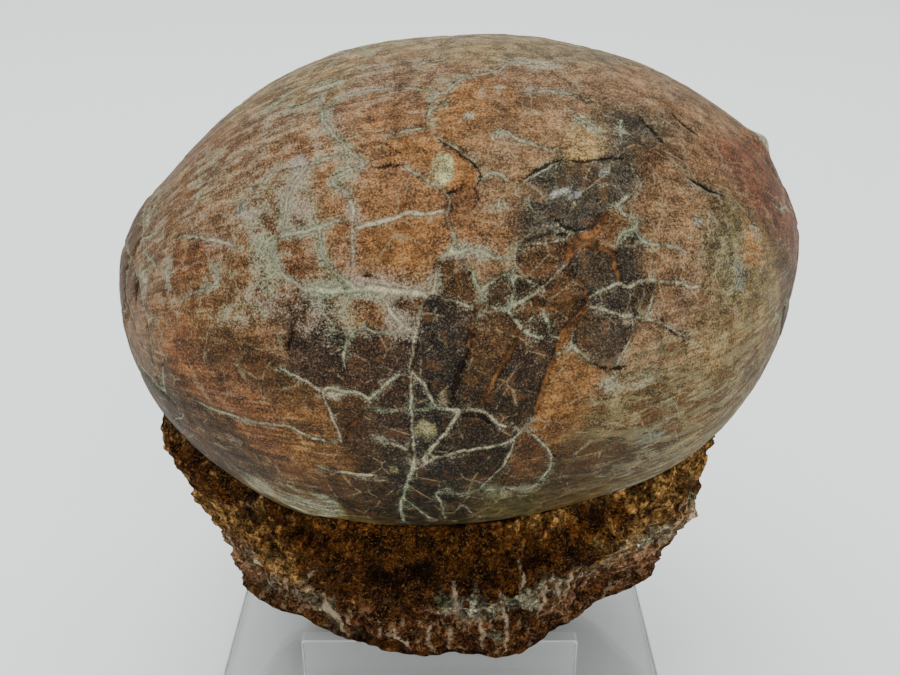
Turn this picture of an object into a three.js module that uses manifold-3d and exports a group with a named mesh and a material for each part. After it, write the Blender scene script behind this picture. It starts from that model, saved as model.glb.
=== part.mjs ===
// A fossil dinosaur egg, still seated in a block of the rock it was buried in, on a small clear
// acrylic stand: a square base plate with two upright rails that the rock's flat underside rests on.
// Millimetres, +Z up. The origin is the middle of the base plate's underside, and the egg's long
// axis runs along X with its +X end a little higher.

import * as THREE from 'three';
import { mergeVertices } from 'three/addons/utils/BufferGeometryUtils.js';
import Module from 'manifold-3d';

const wasm = await Module();
wasm.setup();

// Stand
const SHEET = 3; // thickness of the acrylic sheet
const PLATE_SIDE = 102;
const RAIL_LENGTH = 58;
const RAIL_HEIGHT = 25; // standing height above the plate
const RAIL_Y = 35; // from the plate's middle to the middle of a rail

// Egg
const EGG_HALF_LENGTH = 70;
const EGG_HALF_WIDTH = 50.3;
const EGG_TILT = 7; // degrees
const EGG_CENTRE = new THREE.Vector3(3.5, 0, 93.9);
const EGG_FACETS_ROUND = 60;
const EGG_FACETS_LONG = 36;

// Swells and dents of the shell: mm along the long axis, degrees round it (0 faces -Y, 90 faces up),
// radius and height in mm.
const EGG_SWELLS = [
  [-65, 71, 11, 1.0],
  [-21, 98, 16, 0.7],
  [62, 80, 9, 0.9],
  [69, 51, 8, 0.8],
  [42, -48, 18, 1.8],
  [-36, -52, 16, 1.6],
  [-50, 87, 10, -0.9],
  [-63.5, 34, 9, -0.7],
  [-63.7, 6, 9, -0.7],
  [31, 88, 12, -0.6],
  [63, -12, 12, -1.0],
];

// Rock
const ROCK_BOTTOM = SHEET + RAIL_HEIGHT;
const ROCK_FLARE = 34; // height over which the sides lean out
const ROCK_FOOT = { x: 2.5, halfWidth: 51.5, halfDepth: 41.5 };
const ROCK_TOP = { x: 0.3, halfWidth: 61.5, halfDepth: 42.5 };
const ROCK_FACETS_ROUND = 72;
const SEAT_GAP = 0.3; // between the rock and the egg's shell

// Height of the rock's rim every 45 degrees, counted from +X round towards +Y.
const ROCK_RIM = [61, 55, 53, 57, 67, 51, 42, 51];
const RIM_RISE = 1.15; // how steeply the top climbs inwards from the rim to the egg

// Broad lumps and hollows of the rock's sides: degrees round +Z, height, radius and rise in mm.
const ROCK_LUMPS = [
  [-36, 32, 15, -6.0],
  [-72, 41, 10, 1.5],
  [-104, 46, 9, -1.5],
  [-148, 40, 14, -1.5],
  [-8, 50, 12, 1.0],
];

// A closed, welded geometry with only positions left, ready for a solid.
function welded(geometry) {
  geometry.deleteAttribute('normal');
  geometry.deleteAttribute('uv');
  return mergeVertices(geometry, 1e-4);
}

function toSolid(geometry) {
  return new wasm.Manifold(new wasm.Mesh({
    numProp: 3,
    vertProperties: new Float32Array(geometry.attributes.position.array),
    triVerts: new Uint32Array(geometry.index.array),
  }));
}

function toGeometry(solid) {
  const mesh = solid.getMesh();
  const geometry = new THREE.BufferGeometry();
  geometry.setAttribute('position', new THREE.BufferAttribute(mesh.vertProperties, 3));
  geometry.setIndex(new THREE.BufferAttribute(mesh.triVerts, 1));
  geometry.computeVertexNormals();
  return geometry;
}

// Point on the smooth ellipsoid, from mm along the long axis and degrees round it.
function shellPoint(along, degrees) {
  const radius = EGG_HALF_WIDTH * Math.sqrt(1 - (along / EGG_HALF_LENGTH) ** 2);
  const angle = THREE.MathUtils.degToRad(degrees);
  return new THREE.Vector3(along, -radius * Math.cos(angle), radius * Math.sin(angle));
}

// Height of the shell's swells at a point of the ellipsoid.
function swellAt(point) {
  let height = 0;
  for (const [along, degrees, radius, rise] of EGG_SWELLS) {
    const distance = point.distanceTo(shellPoint(along, degrees));
    height += rise * Math.exp(-((distance / radius) ** 2));
  }
  return height;
}

// The egg's surface, grown outwards by an even offset: a unit sphere with its poles on the long
// axis, stretched to the ellipsoid and raised by the swells, then tilted and moved to its place.
function eggGeometry(offset) {
  const geometry = welded(new THREE.SphereGeometry(1, EGG_FACETS_ROUND, EGG_FACETS_LONG));
  geometry.rotateZ(-Math.PI / 2);
  const size = new THREE.Vector3(EGG_HALF_LENGTH, EGG_HALF_WIDTH, EGG_HALF_WIDTH);
  const positions = geometry.attributes.position;
  const unit = new THREE.Vector3();
  for (let i = 0; i < positions.count; i += 1) {
    unit.fromBufferAttribute(positions, i);
    const point = unit.clone().multiply(size);
    const normal = unit.clone().divide(size).normalize();
    point.addScaledVector(normal, swellAt(point) + offset);
    positions.setXYZ(i, point.x, point.y, point.z);
  }
  geometry.rotateY(-THREE.MathUtils.degToRad(EGG_TILT));
  geometry.translate(EGG_CENTRE.x, EGG_CENTRE.y, EGG_CENTRE.z);
  geometry.computeVertexNormals();
  return geometry;
}

// Height of the rock's rim at an angle round +Z, smooth between the listed heights.
function rimHeight(angle) {
  const count = ROCK_RIM.length;
  const place = ((angle / (2 * Math.PI) + 1) % 1) * count;
  const first = Math.floor(place) % count;
  const blend = (1 - Math.cos(Math.PI * (place % 1))) / 2;
  return THREE.MathUtils.lerp(ROCK_RIM[first], ROCK_RIM[(first + 1) % count], blend);
}

// How far the rock's side stands out of its even outline, in mm, where the outline is at a radius:
// three waves round it, and the listed lumps.
function lump(angle, height, radius) {
  let rise = 0.7 * Math.sin(5 * angle + 0.06 * height + 1.3)
    + 0.6 * Math.sin(9 * angle - 0.14 * height - 2.1)
    + 0.5 * Math.sin(14 * angle + 0.25 * height);
  for (const [degrees, level, size, swell] of ROCK_LUMPS) {
    const turn = angle - THREE.MathUtils.degToRad(degrees);
    const around = radius * Math.atan2(Math.sin(turn), Math.cos(turn));
    rise += swell * Math.exp(-(around ** 2 + (height - level) ** 2) / size ** 2);
  }
  return rise;
}

// The rock before the egg's seat is cut: a lathe of unit radius and height, bent to the outline.
// The flat underside stays flat, and the top climbs inwards until it is inside the egg.
function rockGeometry() {
  const profile = [[0, 0], [0.5, 0], [1, 0]];
  const wallSteps = 9;
  for (let i = 1; i <= wallSteps; i += 1) {
    profile.push([1, i / wallSteps]);
  }
  profile.push([0.92, 1], [0.84, 1], [0.74, 1], [0.4, 1], [0, 1]);
  const points = profile.map(([radius, height]) => new THREE.Vector2(radius, height));
  const geometry = welded(new THREE.LatheGeometry(points, ROCK_FACETS_ROUND));
  geometry.rotateX(Math.PI / 2);
  const positions = geometry.attributes.position;
  for (let i = 0; i < positions.count; i += 1) {
    const fraction = Math.hypot(positions.getX(i), positions.getY(i));
    const angle = Math.atan2(positions.getY(i), positions.getX(i));
    const level = Math.round(positions.getZ(i) * wallSteps) / wallSteps;
    const rim = rimHeight(angle);
    const height = ROCK_BOTTOM + level * (rim - ROCK_BOTTOM);
    const spread = Math.min((height - ROCK_BOTTOM) / ROCK_FLARE, 1);
    const halfWidth = THREE.MathUtils.lerp(ROCK_FOOT.halfWidth, ROCK_TOP.halfWidth, spread);
    const halfDepth = THREE.MathUtils.lerp(ROCK_FOOT.halfDepth, ROCK_TOP.halfDepth, spread);
    const middle = THREE.MathUtils.lerp(ROCK_FOOT.x, ROCK_TOP.x, spread);
    const reach = 1 / Math.hypot(Math.cos(angle) / halfWidth, Math.sin(angle) / halfDepth);
    const radius = fraction * (reach + lump(angle, height, reach));
    const climb = level === 1 ? (1 - fraction) * reach * RIM_RISE : 0;
    const z = Math.min(height + climb, EGG_CENTRE.z);
    positions.setXYZ(i, middle + radius * Math.cos(angle), radius * Math.sin(angle), z);
  }
  return geometry;
}

function eggMesh() {
  const material = new THREE.MeshStandardMaterial({ color: 0x7d5a45, roughness: 0.5, metalness: 0 });
  const mesh = new THREE.Mesh(eggGeometry(0), material);
  mesh.name = 'egg';
  return mesh;
}

function matrixMesh() {
  const seat = toSolid(eggGeometry(SEAT_GAP));
  const rock = toSolid(rockGeometry()).subtract(seat);
  const material = new THREE.MeshStandardMaterial({ color: 0x6f5138, roughness: 0.95, metalness: 0 });
  const mesh = new THREE.Mesh(toGeometry(rock), material);
  mesh.name = 'matrix';
  return mesh;
}

// A piece of the acrylic sheet, with its lowest point at the given height.
function acrylicMesh(name, length, depth, height, y, bottom) {
  const material = new THREE.MeshStandardMaterial({
    color: 0xf2f6f6,
    roughness: 0.05,
    metalness: 0,
    transparent: true,
    opacity: 0.3,
  });
  const mesh = new THREE.Mesh(new THREE.BoxGeometry(length, depth, height), material);
  mesh.position.set(0, y, bottom + height / 2);
  mesh.name = name;
  return mesh;
}

const model = new THREE.Group();

const stand = new THREE.Group();
stand.add(acrylicMesh('base_plate', PLATE_SIDE, PLATE_SIDE, SHEET, 0, 0));
stand.add(acrylicMesh('front_rail', RAIL_LENGTH, SHEET, RAIL_HEIGHT, -RAIL_Y, SHEET));
stand.add(acrylicMesh('back_rail', RAIL_LENGTH, SHEET, RAIL_HEIGHT, RAIL_Y, SHEET));

const specimen = new THREE.Group();
specimen.add(eggMesh(), matrixMesh());

model.add(stand, specimen);

export default model;
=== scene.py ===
# A fossil dinosaur egg in its rock, on a small clear acrylic stand. Lengths here are millimetres
# until a mesh is made, and every mesh is in metres, where the CAD frame has it.

import bpy
import numpy as np
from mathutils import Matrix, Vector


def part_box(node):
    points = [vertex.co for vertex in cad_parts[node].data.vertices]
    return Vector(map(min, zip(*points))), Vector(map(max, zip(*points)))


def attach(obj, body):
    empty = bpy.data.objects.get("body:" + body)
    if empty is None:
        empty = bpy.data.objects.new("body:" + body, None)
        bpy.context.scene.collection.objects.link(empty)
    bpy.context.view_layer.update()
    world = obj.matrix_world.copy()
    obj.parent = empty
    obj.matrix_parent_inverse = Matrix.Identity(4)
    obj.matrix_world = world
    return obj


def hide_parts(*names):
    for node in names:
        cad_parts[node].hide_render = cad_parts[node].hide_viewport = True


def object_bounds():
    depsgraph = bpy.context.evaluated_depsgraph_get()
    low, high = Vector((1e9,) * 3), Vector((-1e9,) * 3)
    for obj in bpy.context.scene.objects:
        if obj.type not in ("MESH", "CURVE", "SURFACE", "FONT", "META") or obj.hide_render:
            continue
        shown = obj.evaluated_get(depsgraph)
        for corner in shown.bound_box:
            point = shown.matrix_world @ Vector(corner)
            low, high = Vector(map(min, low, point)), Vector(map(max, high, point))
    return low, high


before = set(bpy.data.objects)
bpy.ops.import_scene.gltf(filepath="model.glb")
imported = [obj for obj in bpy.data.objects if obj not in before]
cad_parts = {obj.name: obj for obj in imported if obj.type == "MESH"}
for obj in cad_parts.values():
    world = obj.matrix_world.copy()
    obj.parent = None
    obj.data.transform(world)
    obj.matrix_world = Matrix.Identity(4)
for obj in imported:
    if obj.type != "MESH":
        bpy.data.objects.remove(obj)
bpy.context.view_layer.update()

# ---------------------------------------------------------------------------------------------
# The egg. A long oval egg lying on its side: a thin mineral shell, crushed into plates and healed
# with pale calcite and rusty clay, round a filling of hardened mud. The face was cleaned and
# rubbed smooth, and the underside still sits in the rock.
# ---------------------------------------------------------------------------------------------

MM = 0.001
EGG_CENTRE = np.array([3.5, 0.0, 93.9])
EGG_AXES = np.array([70.0, 50.3, 50.3])
EGG_TILT = np.radians(7.0)
EGG_COLUMNS = 360
EGG_ROWS = 268
EGG_CELL = 0.62  # mean spacing of the grid on the shell
SNAP_REACH = 0.45  # share of a cell within which a grid point moves onto a line
BARRIER_REACH = 0.6  # share of a cell within which a line holds a plate's colour back
CRACK_DRAG = 9.0  # added cost of each mm on a line when plates spread
SPREAD_ROUNDS = 230
SOFTEN_ROUNDS = 26
PATH_STEP = 0.25  # spacing of the points along a line
FAR_SPOTS = 900  # random directions drawn
FAR_PLATES = 190  # how many of them become plates of the far side
MERIDIAN = 60  # mm along a meridian for each radian from the egg's end

# Heights and depths of the shell's relief in mm. A dark crack's is for each mm of its width.
PLATE_LIFT = 0.10
SHELL_WAVE = 0.22
SHELL_GRIT = 0.06
SEAM_DIP = 0.16
PALE_DEPTH = 0.10
RUST_DEPTH = 0.14
DARK_DEPTH = 0.55

# Swells and dents of the shell: mm along the long axis, degrees round it (0 faces front, 90 faces
# up), radius and height in mm.
EGG_SWELLS = [
    (-65, 71, 11, 1.0),
    (-21, 98, 16, 0.7),
    (62, 80, 9, 0.9),
    (69, 51, 8, 0.8),
    (42, -48, 18, 1.8),
    (-36, -52, 16, 1.6),
    (-50, 87, 10, -0.9),
    (-63.5, 34, 9, -0.7),
    (-63.7, 6, 9, -0.7),
    (31, 88, 12, -0.6),
    (63, -12, 12, -1.0),
]

# Small crusts of mineral that stand on the shell, in the same way.
EGG_CRUSTS = [
    (61.6, 80, 2.4, 1.5),
    (59.5, 76, 1.6, 0.6),
    (-31, 46, 2.0, 0.5),
    (-50, 36, 2.5, 0.5),
    (-32, -37, 6, 0.35),
    (3.5, 29.2, 2.2, 0.3),
    (12.2, 52.3, 1.6, 0.4),
]

# Veins and cracks between the plates: width in mm, then places (mm along, degrees round).
PALE_VEINS = [
    (0.7, [(3.9, 26.5), (4.8, 25), (5.4, 22.5), (6, 20.2), (6.7, 18.4)]),
    (1.2, [(6.7, 18.4), (8.6, 17.6), (10, 17.4), (11.6, 18.2), (13.1, 18.8), (14.3, 19.3), (15.5, 20)]),
    (0.5, [(10.7, 17.6), (11, 19), (11.3, 20.5), (11.3, 22), (11, 23.6)]),
    (0.6, [(6, 20.9), (6.9, 22.3), (8.2, 23.2), (9.6, 24), (11, 23.8), (12.5, 23.1), (14, 22.2),
           (15.8, 21)]),
    (0.9, [(15.8, 20.7), (16.9, 21.3), (18, 22.4), (19.1, 23.6), (20.1, 24.6)]),
    (0.5, [(14, 15.3), (13.2, 14.5), (12, 13.9)]),
    (0.5, [(15.6, 16.4), (16.1, 14.6), (16.4, 13), (16.3, 11.6)]),
    (0.9, [(23.6, 17.5), (25.5, 18.3), (27.1, 18.8), (28.7, 19.5), (30.2, 18.4), (32.1, 19.2),
           (34.2, 19.3), (36.2, 18.6), (38.3, 17.9), (40.2, 17), (41.7, 15.9), (43.6, 15.6)]),
    (0.6, [(35.3, 18.6), (34.6, 16.8), (34.2, 14.5), (33.5, 12.3), (32.6, 11.2)]),
    (0.8, [(23.4, 15.7), (24.5, 15), (26, 14.2), (27.6, 13.4), (29.1, 12.6), (31, 11.8), (32.8, 10.9),
           (34.6, 9.8), (36.4, 8.3), (38.2, 6), (39.7, 4.2), (41, 2.8)]),
    (0.8, [(12.2, -6.2), (11, -7.6), (10.2, -8.5)]),
    (0.9, [(17.4, 7.3), (18.8, 7.6), (20, 8.2), (20.9, 6.9), (21.9, 5.7), (23.1, 3.9)]),
    (0.4, [(20, 8.2), (20, 10.2), (20.4, 11.5)]),
    (0.45, [(27.1, 1.4), (27.8, 3), (28.9, 5.2), (30, 7.2), (30.6, 9.4), (30.4, 11.8)]),
    (0.9, [(6.7, 18.3), (5.7, 17.2), (4.9, 15.9)]),
    (0.45, [(-2.2, 21.9), (-1.2, 21.9), (0, 20.7), (1.3, 20), (2.5, 19.6), (3.6, 18.8), (5, 18.4)]),
    (0.6, [(-2.2, 21.9), (-3.7, 20.1), (-4.5, 18.2), (-4.8, 16.5), (-5.6, 14.8), (-6.1, 13), (-6.2, 11),
           (-6.9, 9.2), (-7.4, 7.3)]),
    (0.4, [(-1.6, 21.9), (-1.1, 24.5), (-0.8, 26.5), (-0.1, 28.4)]),
    (1.8, [(0, 28.4), (1.5, 28.9), (3.2, 29), (5, 29.3)]),
    (1.0, [(5, 29.3), (6.9, 28.7), (8, 27.7), (9.4, 26.8), (11.9, 27)]),
    (0.45, [(12.4, 30), (12.2, 27.6), (11.8, 25), (11.2, 23.7)]),
    (0.6, [(11.8, 29.4), (13.7, 29.2), (15.7, 29.1), (17.8, 29.1), (19.2, 29.3), (21, 29.2)]),
    (0.9, [(-29.5, 35.5), (-27.6, 36.8), (-25.7, 37.4), (-23.8, 37.3), (-22, 37.2), (-20.1, 37.6),
           (-18, 38), (-16.2, 38.2), (-14, 38.2)]),
    (1.3, [(-14, 36), (-11.7, 36.4), (-9.9, 36.5), (-8.4, 36.8), (-6.8, 37), (-4.7, 37.3), (-2.1, 36.9),
           (0.3, 36.9), (2.2, 37.2)]),
    (0.6, [(2.2, 37.2), (2.5, 38.6), (2.3, 40), (1.4, 41.2), (0.4, 43)]),
    (0.7, [(2.2, 37), (1.8, 35.2), (2.4, 33.1), (2.7, 31.6), (2.1, 30.2)]),
    (0.8, [(-17, 46), (-14.6, 43.4), (-13.7, 40.4), (-13.8, 38.2), (-14, 36), (-14.4, 33.5),
           (-14.1, 31.6), (-14.7, 29)]),
    (0.35, [(-19.6, 37), (-19.6, 34.7), (-19.7, 32.2), (-18.4, 29.4), (-17.3, 27.3), (-15, 25.6)]),
    (1.7, [(-24, 25.5), (-20, 24.8), (-17, 24.2), (-14, 24.3), (-11.5, 24.2), (-9, 23.2), (-6.5, 22.6),
           (-4, 22.2), (-2.2, 21.9)]),
    (1.0, [(-10.4, 22.5), (-9.8, 21), (-8.9, 19), (-7.8, 17.2), (-6.7, 15.7), (-5.6, 14.9)]),
    (0.6, [(-15.5, 16.2), (-14.1, 16.9), (-12.4, 15.8), (-10.1, 15.2), (-8, 15.4), (-5.8, 14.9)]),
    (1.0, [(-15.5, 16.2), (-17, 14.6), (-17.6, 12.9), (-18.1, 11), (-18.3, 9)]),
    (0.9, [(-15, -0.5), (-12.5, -0.8), (-10, -1), (-8, -1.3), (-6, -0.8), (-3.4, -0.9), (-1.5, -1.3),
           (0.3, -1.9), (2.2, -2.1), (4.5, -3.4), (6, -5.6), (7.1, -6.7), (8.6, -7.3), (10.1, -8.4)]),
    (1.0, [(10, 17.3), (10.5, 15.8), (11.4, 14.3), (12, 13.2), (13.2, 11.9), (14.7, 11.2), (16.3, 11),
           (17.7, 10.4)]),
    (0.9, [(7.6, 42.6), (8.8, 43.3), (9.9, 43.6), (11.3, 43.1), (12.7, 41.8), (13.8, 41.1)]),
    (0.6, [(13.9, 40.5), (15.8, 42.1), (17.5, 43.3), (19, 44.1), (20.5, 45.2), (22, 45.8)]),
    (0.7, [(11, 51.8), (12.3, 52.6), (13.2, 52.6), (14.3, 51.4), (16.2, 50.4), (18.2, 49.2),
           (20.3, 47.9), (22, 47.2)]),
    (0.5, [(28.4, 35.2), (30.1, 36), (31.3, 37.2), (32.8, 38.3), (34.2, 39.2)]),
    (0.35, [(34.2, 39.2), (34.6, 41.2), (33.8, 43.5), (33.1, 46.6)]),
    (0.4, [(27, 46.2), (26.2, 44), (25.3, 42.2), (26.1, 41.1), (27.6, 40.4)]),
    (0.5, [(18.2, 34), (19.4, 32.8), (20.7, 31.4), (22.7, 30.5), (24.2, 30.6)]),
    (0.7, [(28.4, 35.3), (29.9, 35.2), (31.2, 33.7), (32.8, 32.9), (33.6, 32.2)]),
    (0.6, [(33.6, 32.2), (33, 31), (31.5, 30.5), (30.2, 29.9), (29.4, 28.5), (28.9, 27)]),
    (0.8, [(32.4, 30.2), (33.2, 28.7), (34.5, 27.2), (36, 26.8), (38, 26.4), (39.5, 25.9), (40.5, 24.8)]),
    (0.5, [(14.3, 38), (15.5, 36.5), (16.2, 35.5)]),
    (0.7, [(1.2, 53), (3.2, 51.1), (5.2, 48.9), (6.9, 47.1), (8, 45)]),
    (0.9, [(-47.5, 45.5), (-44.4, 43.7), (-41.8, 41.8), (-39.6, 40.3), (-36.9, 38.7), (-34.5, 36.5)]),
    (0.35, [(-40.3, 34.8), (-39.4, 32.2), (-39.5, 30)]),
    (0.35, [(-47.5, 27.5), (-45.5, 28.3), (-42.3, 29), (-39.5, 30)]),
    (0.8, [(-49.5, 40), (-50, 37), (-50.3, 33.5), (-50.5, 31)]),
    (0.3, [(-27.6, 36.8), (-28.4, 34.5), (-28.6, 32), (-27, 29.5), (-25.2, 27.5), (-23.3, 26), (-21.5, 25)]),
    (1.0, [(-7.4, 7.3), (-9.7, 6.5), (-11.7, 5.2), (-13, 3.9), (-14.8, 2.2), (-15.9, 2.9), (-17, 3.8),
           (-19, 3.8), (-21.1, 4.8), (-23, 4.4), (-24.5, 5.8), (-26, 6.8), (-27.5, 7.8), (-29.5, 9.3)]),
    (0.9, [(-7.2, 7.3), (-5.8, 5.6), (-4.9, 3.8), (-4.4, 2), (-4, 0.3), (-3.4, -0.8)]),
    (0.8, [(-7.3, 7), (-7.5, 3.5), (-7.9, 0), (-8.2, -4), (-8.6, -8), (-8.8, -12)]),
    (1.3, [(-8.8, -12), (-9.6, -16.5), (-11, -20), (-12.2, -25), (-13.4, -29.5), (-14.2, -36),
           (-14.4, -44)]),
    (1.3, [(0.3, -2.2), (-1.5, -4.8), (-2.7, -6.8), (-4.1, -8.5), (-5.4, -10.3), (-7, -12.6), (-8.8, -14)]),
    (1.0, [(10.2, -8.7), (7.8, -11), (5.2, -11.9), (2, -11.9), (-0.8, -12.1), (-2.7, -12.6),
           (-5.2, -13.2), (-7.7, -15.2), (-9.2, -16.2)]),
    (0.6, [(10.6, -8.6), (12.5, -11), (14, -14.4), (14.9, -17.6), (14.8, -19.5)]),
    (0.4, [(8.3, -12), (7.2, -15.5), (5.9, -18.8), (4.4, -21), (2.5, -23.5), (0.8, -25.8)]),
    (0.9, [(-4, -26), (-2, -26.4), (0.2, -26), (4.2, -26.2), (7.5, -27), (10.1, -28.2), (12.1, -26.6),
           (13.9, -23.5), (15, -20)]),
    (0.35, [(-2.3, -31), (-1.2, -36), (0.4, -42), (1.5, -47)]),
    (0.35, [(-12.5, -28), (-11, -32.5), (-9.5, -38), (-8.5, -43)]),
    (0.35, [(-4.5, -24), (-6.5, -26), (-6, -31), (-6.3, -38), (-6, -44)]),
    (0.9, [(-49.5, -3), (-46.5, -4), (-43.9, -4.8), (-41.3, -5.2), (-38.9, -5.4), (-36, -5.6),
           (-33.3, -5.4), (-30.4, -5.7), (-28.8, -6.8), (-26.6, -8.1), (-24.2, -8.9), (-21.5, -8.6)]),
    (0.7, [(-23, 4.3), (-22.5, 1), (-22.2, -1.5), (-21.8, -3.9), (-21.3, -7), (-21.3, -9)]),
    (1.3, [(-26.5, -17.5), (-24, -18), (-20.5, -18.3), (-17.5, -18.4), (-15, -19)]),
    (0.8, [(-15, -7.6), (-13, -8.8), (-11.3, -9.6), (-9.8, -10.6)]),
    (0.8, [(-19, 69), (-18.5, 64), (-17.5, 60.5), (-15.8, 57), (-14.8, 54.5), (-13, 52), (-11.5, 50)]),
    (0.8, [(-11.5, 48.8), (-14, 48.2), (-16.5, 47.6), (-17, 46)]),
    (0.35, [(-14.5, 52), (-18, 52), (-21, 51.5), (-23, 49.5), (-24.5, 46.5), (-25.5, 43), (-26, 40),
           (-26.5, 37.5)]),
    (0.8, [(-4.5, 47), (-2.8, 45.6), (-1.4, 44.2), (0, 42.6), (1.6, 41.3)]),
    (0.7, [(-6.8, 54), (-4, 55), (-2, 55.2), (0.5, 55.5)]),
    (0.5, [(-17, 66), (-15, 68), (-10.5, 68.5), (-6, 68), (-2, 66.5), (1, 65), (3.5, 63.5)]),
    (0.6, [(1, 62.5), (3.5, 64.5), (5.5, 67), (7.5, 69), (10, 70), (13, 71), (14.5, 73.5), (17, 75.5),
           (19, 75)]),
    (0.6, [(0, 58), (1.2, 60.3), (3.6, 60.8)]),
    (0.5, [(-1.3, 75), (0.8, 76), (3.4, 76.5)]),
    (0.6, [(17, 63.5), (19.5, 64), (22, 64.2), (25, 64), (28, 62)]),
    (0.8, [(24.3, 58), (25.5, 56.5), (27, 55), (28.5, 53)]),
    (0.8, [(-24, 80), (-27, 77), (-29, 73)]),
    (0.7, [(-25, 71), (-22, 70.5), (-19.5, 71)]),
    (0.8, [(-26, 54), (-28, 52), (-29.3, 50)]),
    (0.5, [(33, 57.5), (32.8, 55), (32.5, 52)]),
    (0.6, [(53, 23.5), (52.5, 26), (53, 28.5), (54, 30.5), (55.5, 31), (56, 29), (55.5, 26)]),
    (0.5, [(43.5, 43), (45.2, 41.4), (46.9, 40.4), (48.4, 39.6), (49.4, 38.9)]),
]
RUST_VEINS = [
    (0.6, [(20.1, 24.4), (20.6, 23.2), (21.4, 21.9), (22.3, 20.4), (23, 19), (23.3, 17.8)]),
    (0.7, [(15.5, 20.2), (14.7, 18.6), (14.3, 17.1), (14, 15.3)]),
    (0.8, [(14.2, 16.3), (15.6, 16.4), (17.7, 16.3), (19.2, 16.8), (21, 17.4), (23.2, 17.8)]),
    (1.7, [(23.3, 17.4), (23.2, 16), (22.1, 14.6), (21, 13.6), (20, 12.4), (18.9, 11), (17.8, 9.6),
           (17.3, 7.8)]),
    (0.8, [(17.3, 7.8), (16.8, 6.4), (16.1, 5.1), (15.5, 3.2), (14.7, 1.5), (14, -0.6), (13.4, -2.6),
           (12.8, -4.9), (12.2, -6.2)]),
    (0.9, [(11.9, 13.6), (11, 11.3), (10.1, 9.8), (9.2, 8.4), (8, 6.9), (7.1, 5.4), (6.3, 3.5),
           (5.5, 1.7), (4.1, 0.1), (3.2, -1)]),
    (0.45, [(5, 17.8), (4.4, 16.8), (4.1, 15), (3.4, 13), (2.8, 10.8)]),
    (0.6, [(24.4, 31.2), (25.9, 32.3), (27.4, 34), (28.4, 35.2)]),
    (0.8, [(20.1, 24.4), (21.4, 26.3), (22.8, 27.5), (24.2, 27.9), (25.5, 27.4), (27.1, 26.8),
           (28.1, 25.7), (28.3, 23.7), (28.6, 21.7), (28.9, 19.6)]),
    (1.3, [(20.3, 25.5), (20.9, 27), (21.9, 28.9), (23.4, 29.6), (25.2, 29.9), (26.8, 31.6), (28, 33.8)]),
    (0.8, [(-16.5, -1.5), (-18.6, -4), (-20, -5.6), (-21, -8)]),
]
# Open cracks and plate steps, drawn near black as painted shadow in and under them.
SHADOWED_CRACKS = [
    (0.9, [(2.8, 10.8), (2, 8.7), (1, 6.7), (0.3, 4.4), (-0.3, 2.4), (-0.6, 0.8)]),
    (0.6, [(12.4, 30.1), (14.5, 30.1), (16.5, 30.4), (18.5, 30.7), (20, 30.4)]),
    (0.6, [(18.6, 34.3), (19.4, 33.4), (20.6, 32.1), (22.7, 31.2), (24.4, 31.2)]),
    (0.8, [(23.1, 3.9), (24.4, 2.4), (25.8, 1.4), (27.3, 1.2), (28.8, 0.9)]),
    (0.6, [(13.8, 41.1), (15.7, 42.7), (17.4, 43.9), (18.9, 44.7), (20.4, 45.7), (21.9, 46.2)]),
    (0.45, [(21.9, 46.2), (23.6, 45.8), (25.5, 45.8), (27, 46.2), (30, 46.8), (33.1, 46.6)]),
    (0.6, [(1.5, 52.2), (3.3, 50.4), (5.2, 48.2), (6.7, 46.6), (7.8, 44.7), (8.1, 43)]),
    (0.35, [(7.9, 42.8), (7, 40.6), (7.1, 38.6), (6.2, 37)]),
    (0.35, [(5, 42.5), (4.8, 41.2), (3.1, 40.3), (2, 40.6)]),
    (0.6, [(43.5, 43.5), (45.2, 42), (46.9, 41), (48.4, 40.2), (49.4, 39.4)]),
    (0.9, [(-58.8, 40), (-60, 36.5), (-60.8, 33), (-61.2, 29.5)]),
    (0.6, [(-26.3, 17.5), (-27, 15.3), (-27.8, 13.2)]),
    (0.8, [(-10, 48.3), (-8.5, 47.8), (-6.5, 47.9), (-4.8, 47.5)]),
    (0.4, [(-7.5, 53), (-6, 51), (-4.8, 50.2)]),
    (0.8, [(36.5, 59.5), (38, 57), (39, 54.5), (40, 52.5)]),
    (0.8, [(43.2, 64), (44.5, 61.8), (46, 59.8), (47.3, 58.2)]),
    (0.5, [(-13.8, 27.3), (-12.6, 26.6), (-11.6, 26.5)]),
    (0.6, [(0.5, -3), (2.3, -3.3), (4.3, -4.6), (5.6, -6.4)]),
    (0.5, [(36.4, 7.9), (38.2, 5.5), (39.7, 3.7)]),
    (0.5, [(15, -17), (15.8, -18.8), (17, -18.6)]),
]


def paint(red, green, blue):
    """A colour given as 0 to 255 on a screen, as the linear values that a shader takes."""
    screen = np.array([red, green, blue]) / 255
    return np.where(screen <= 0.04045, screen / 12.92, ((screen + 0.055) / 1.055) ** 2.4)


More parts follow.
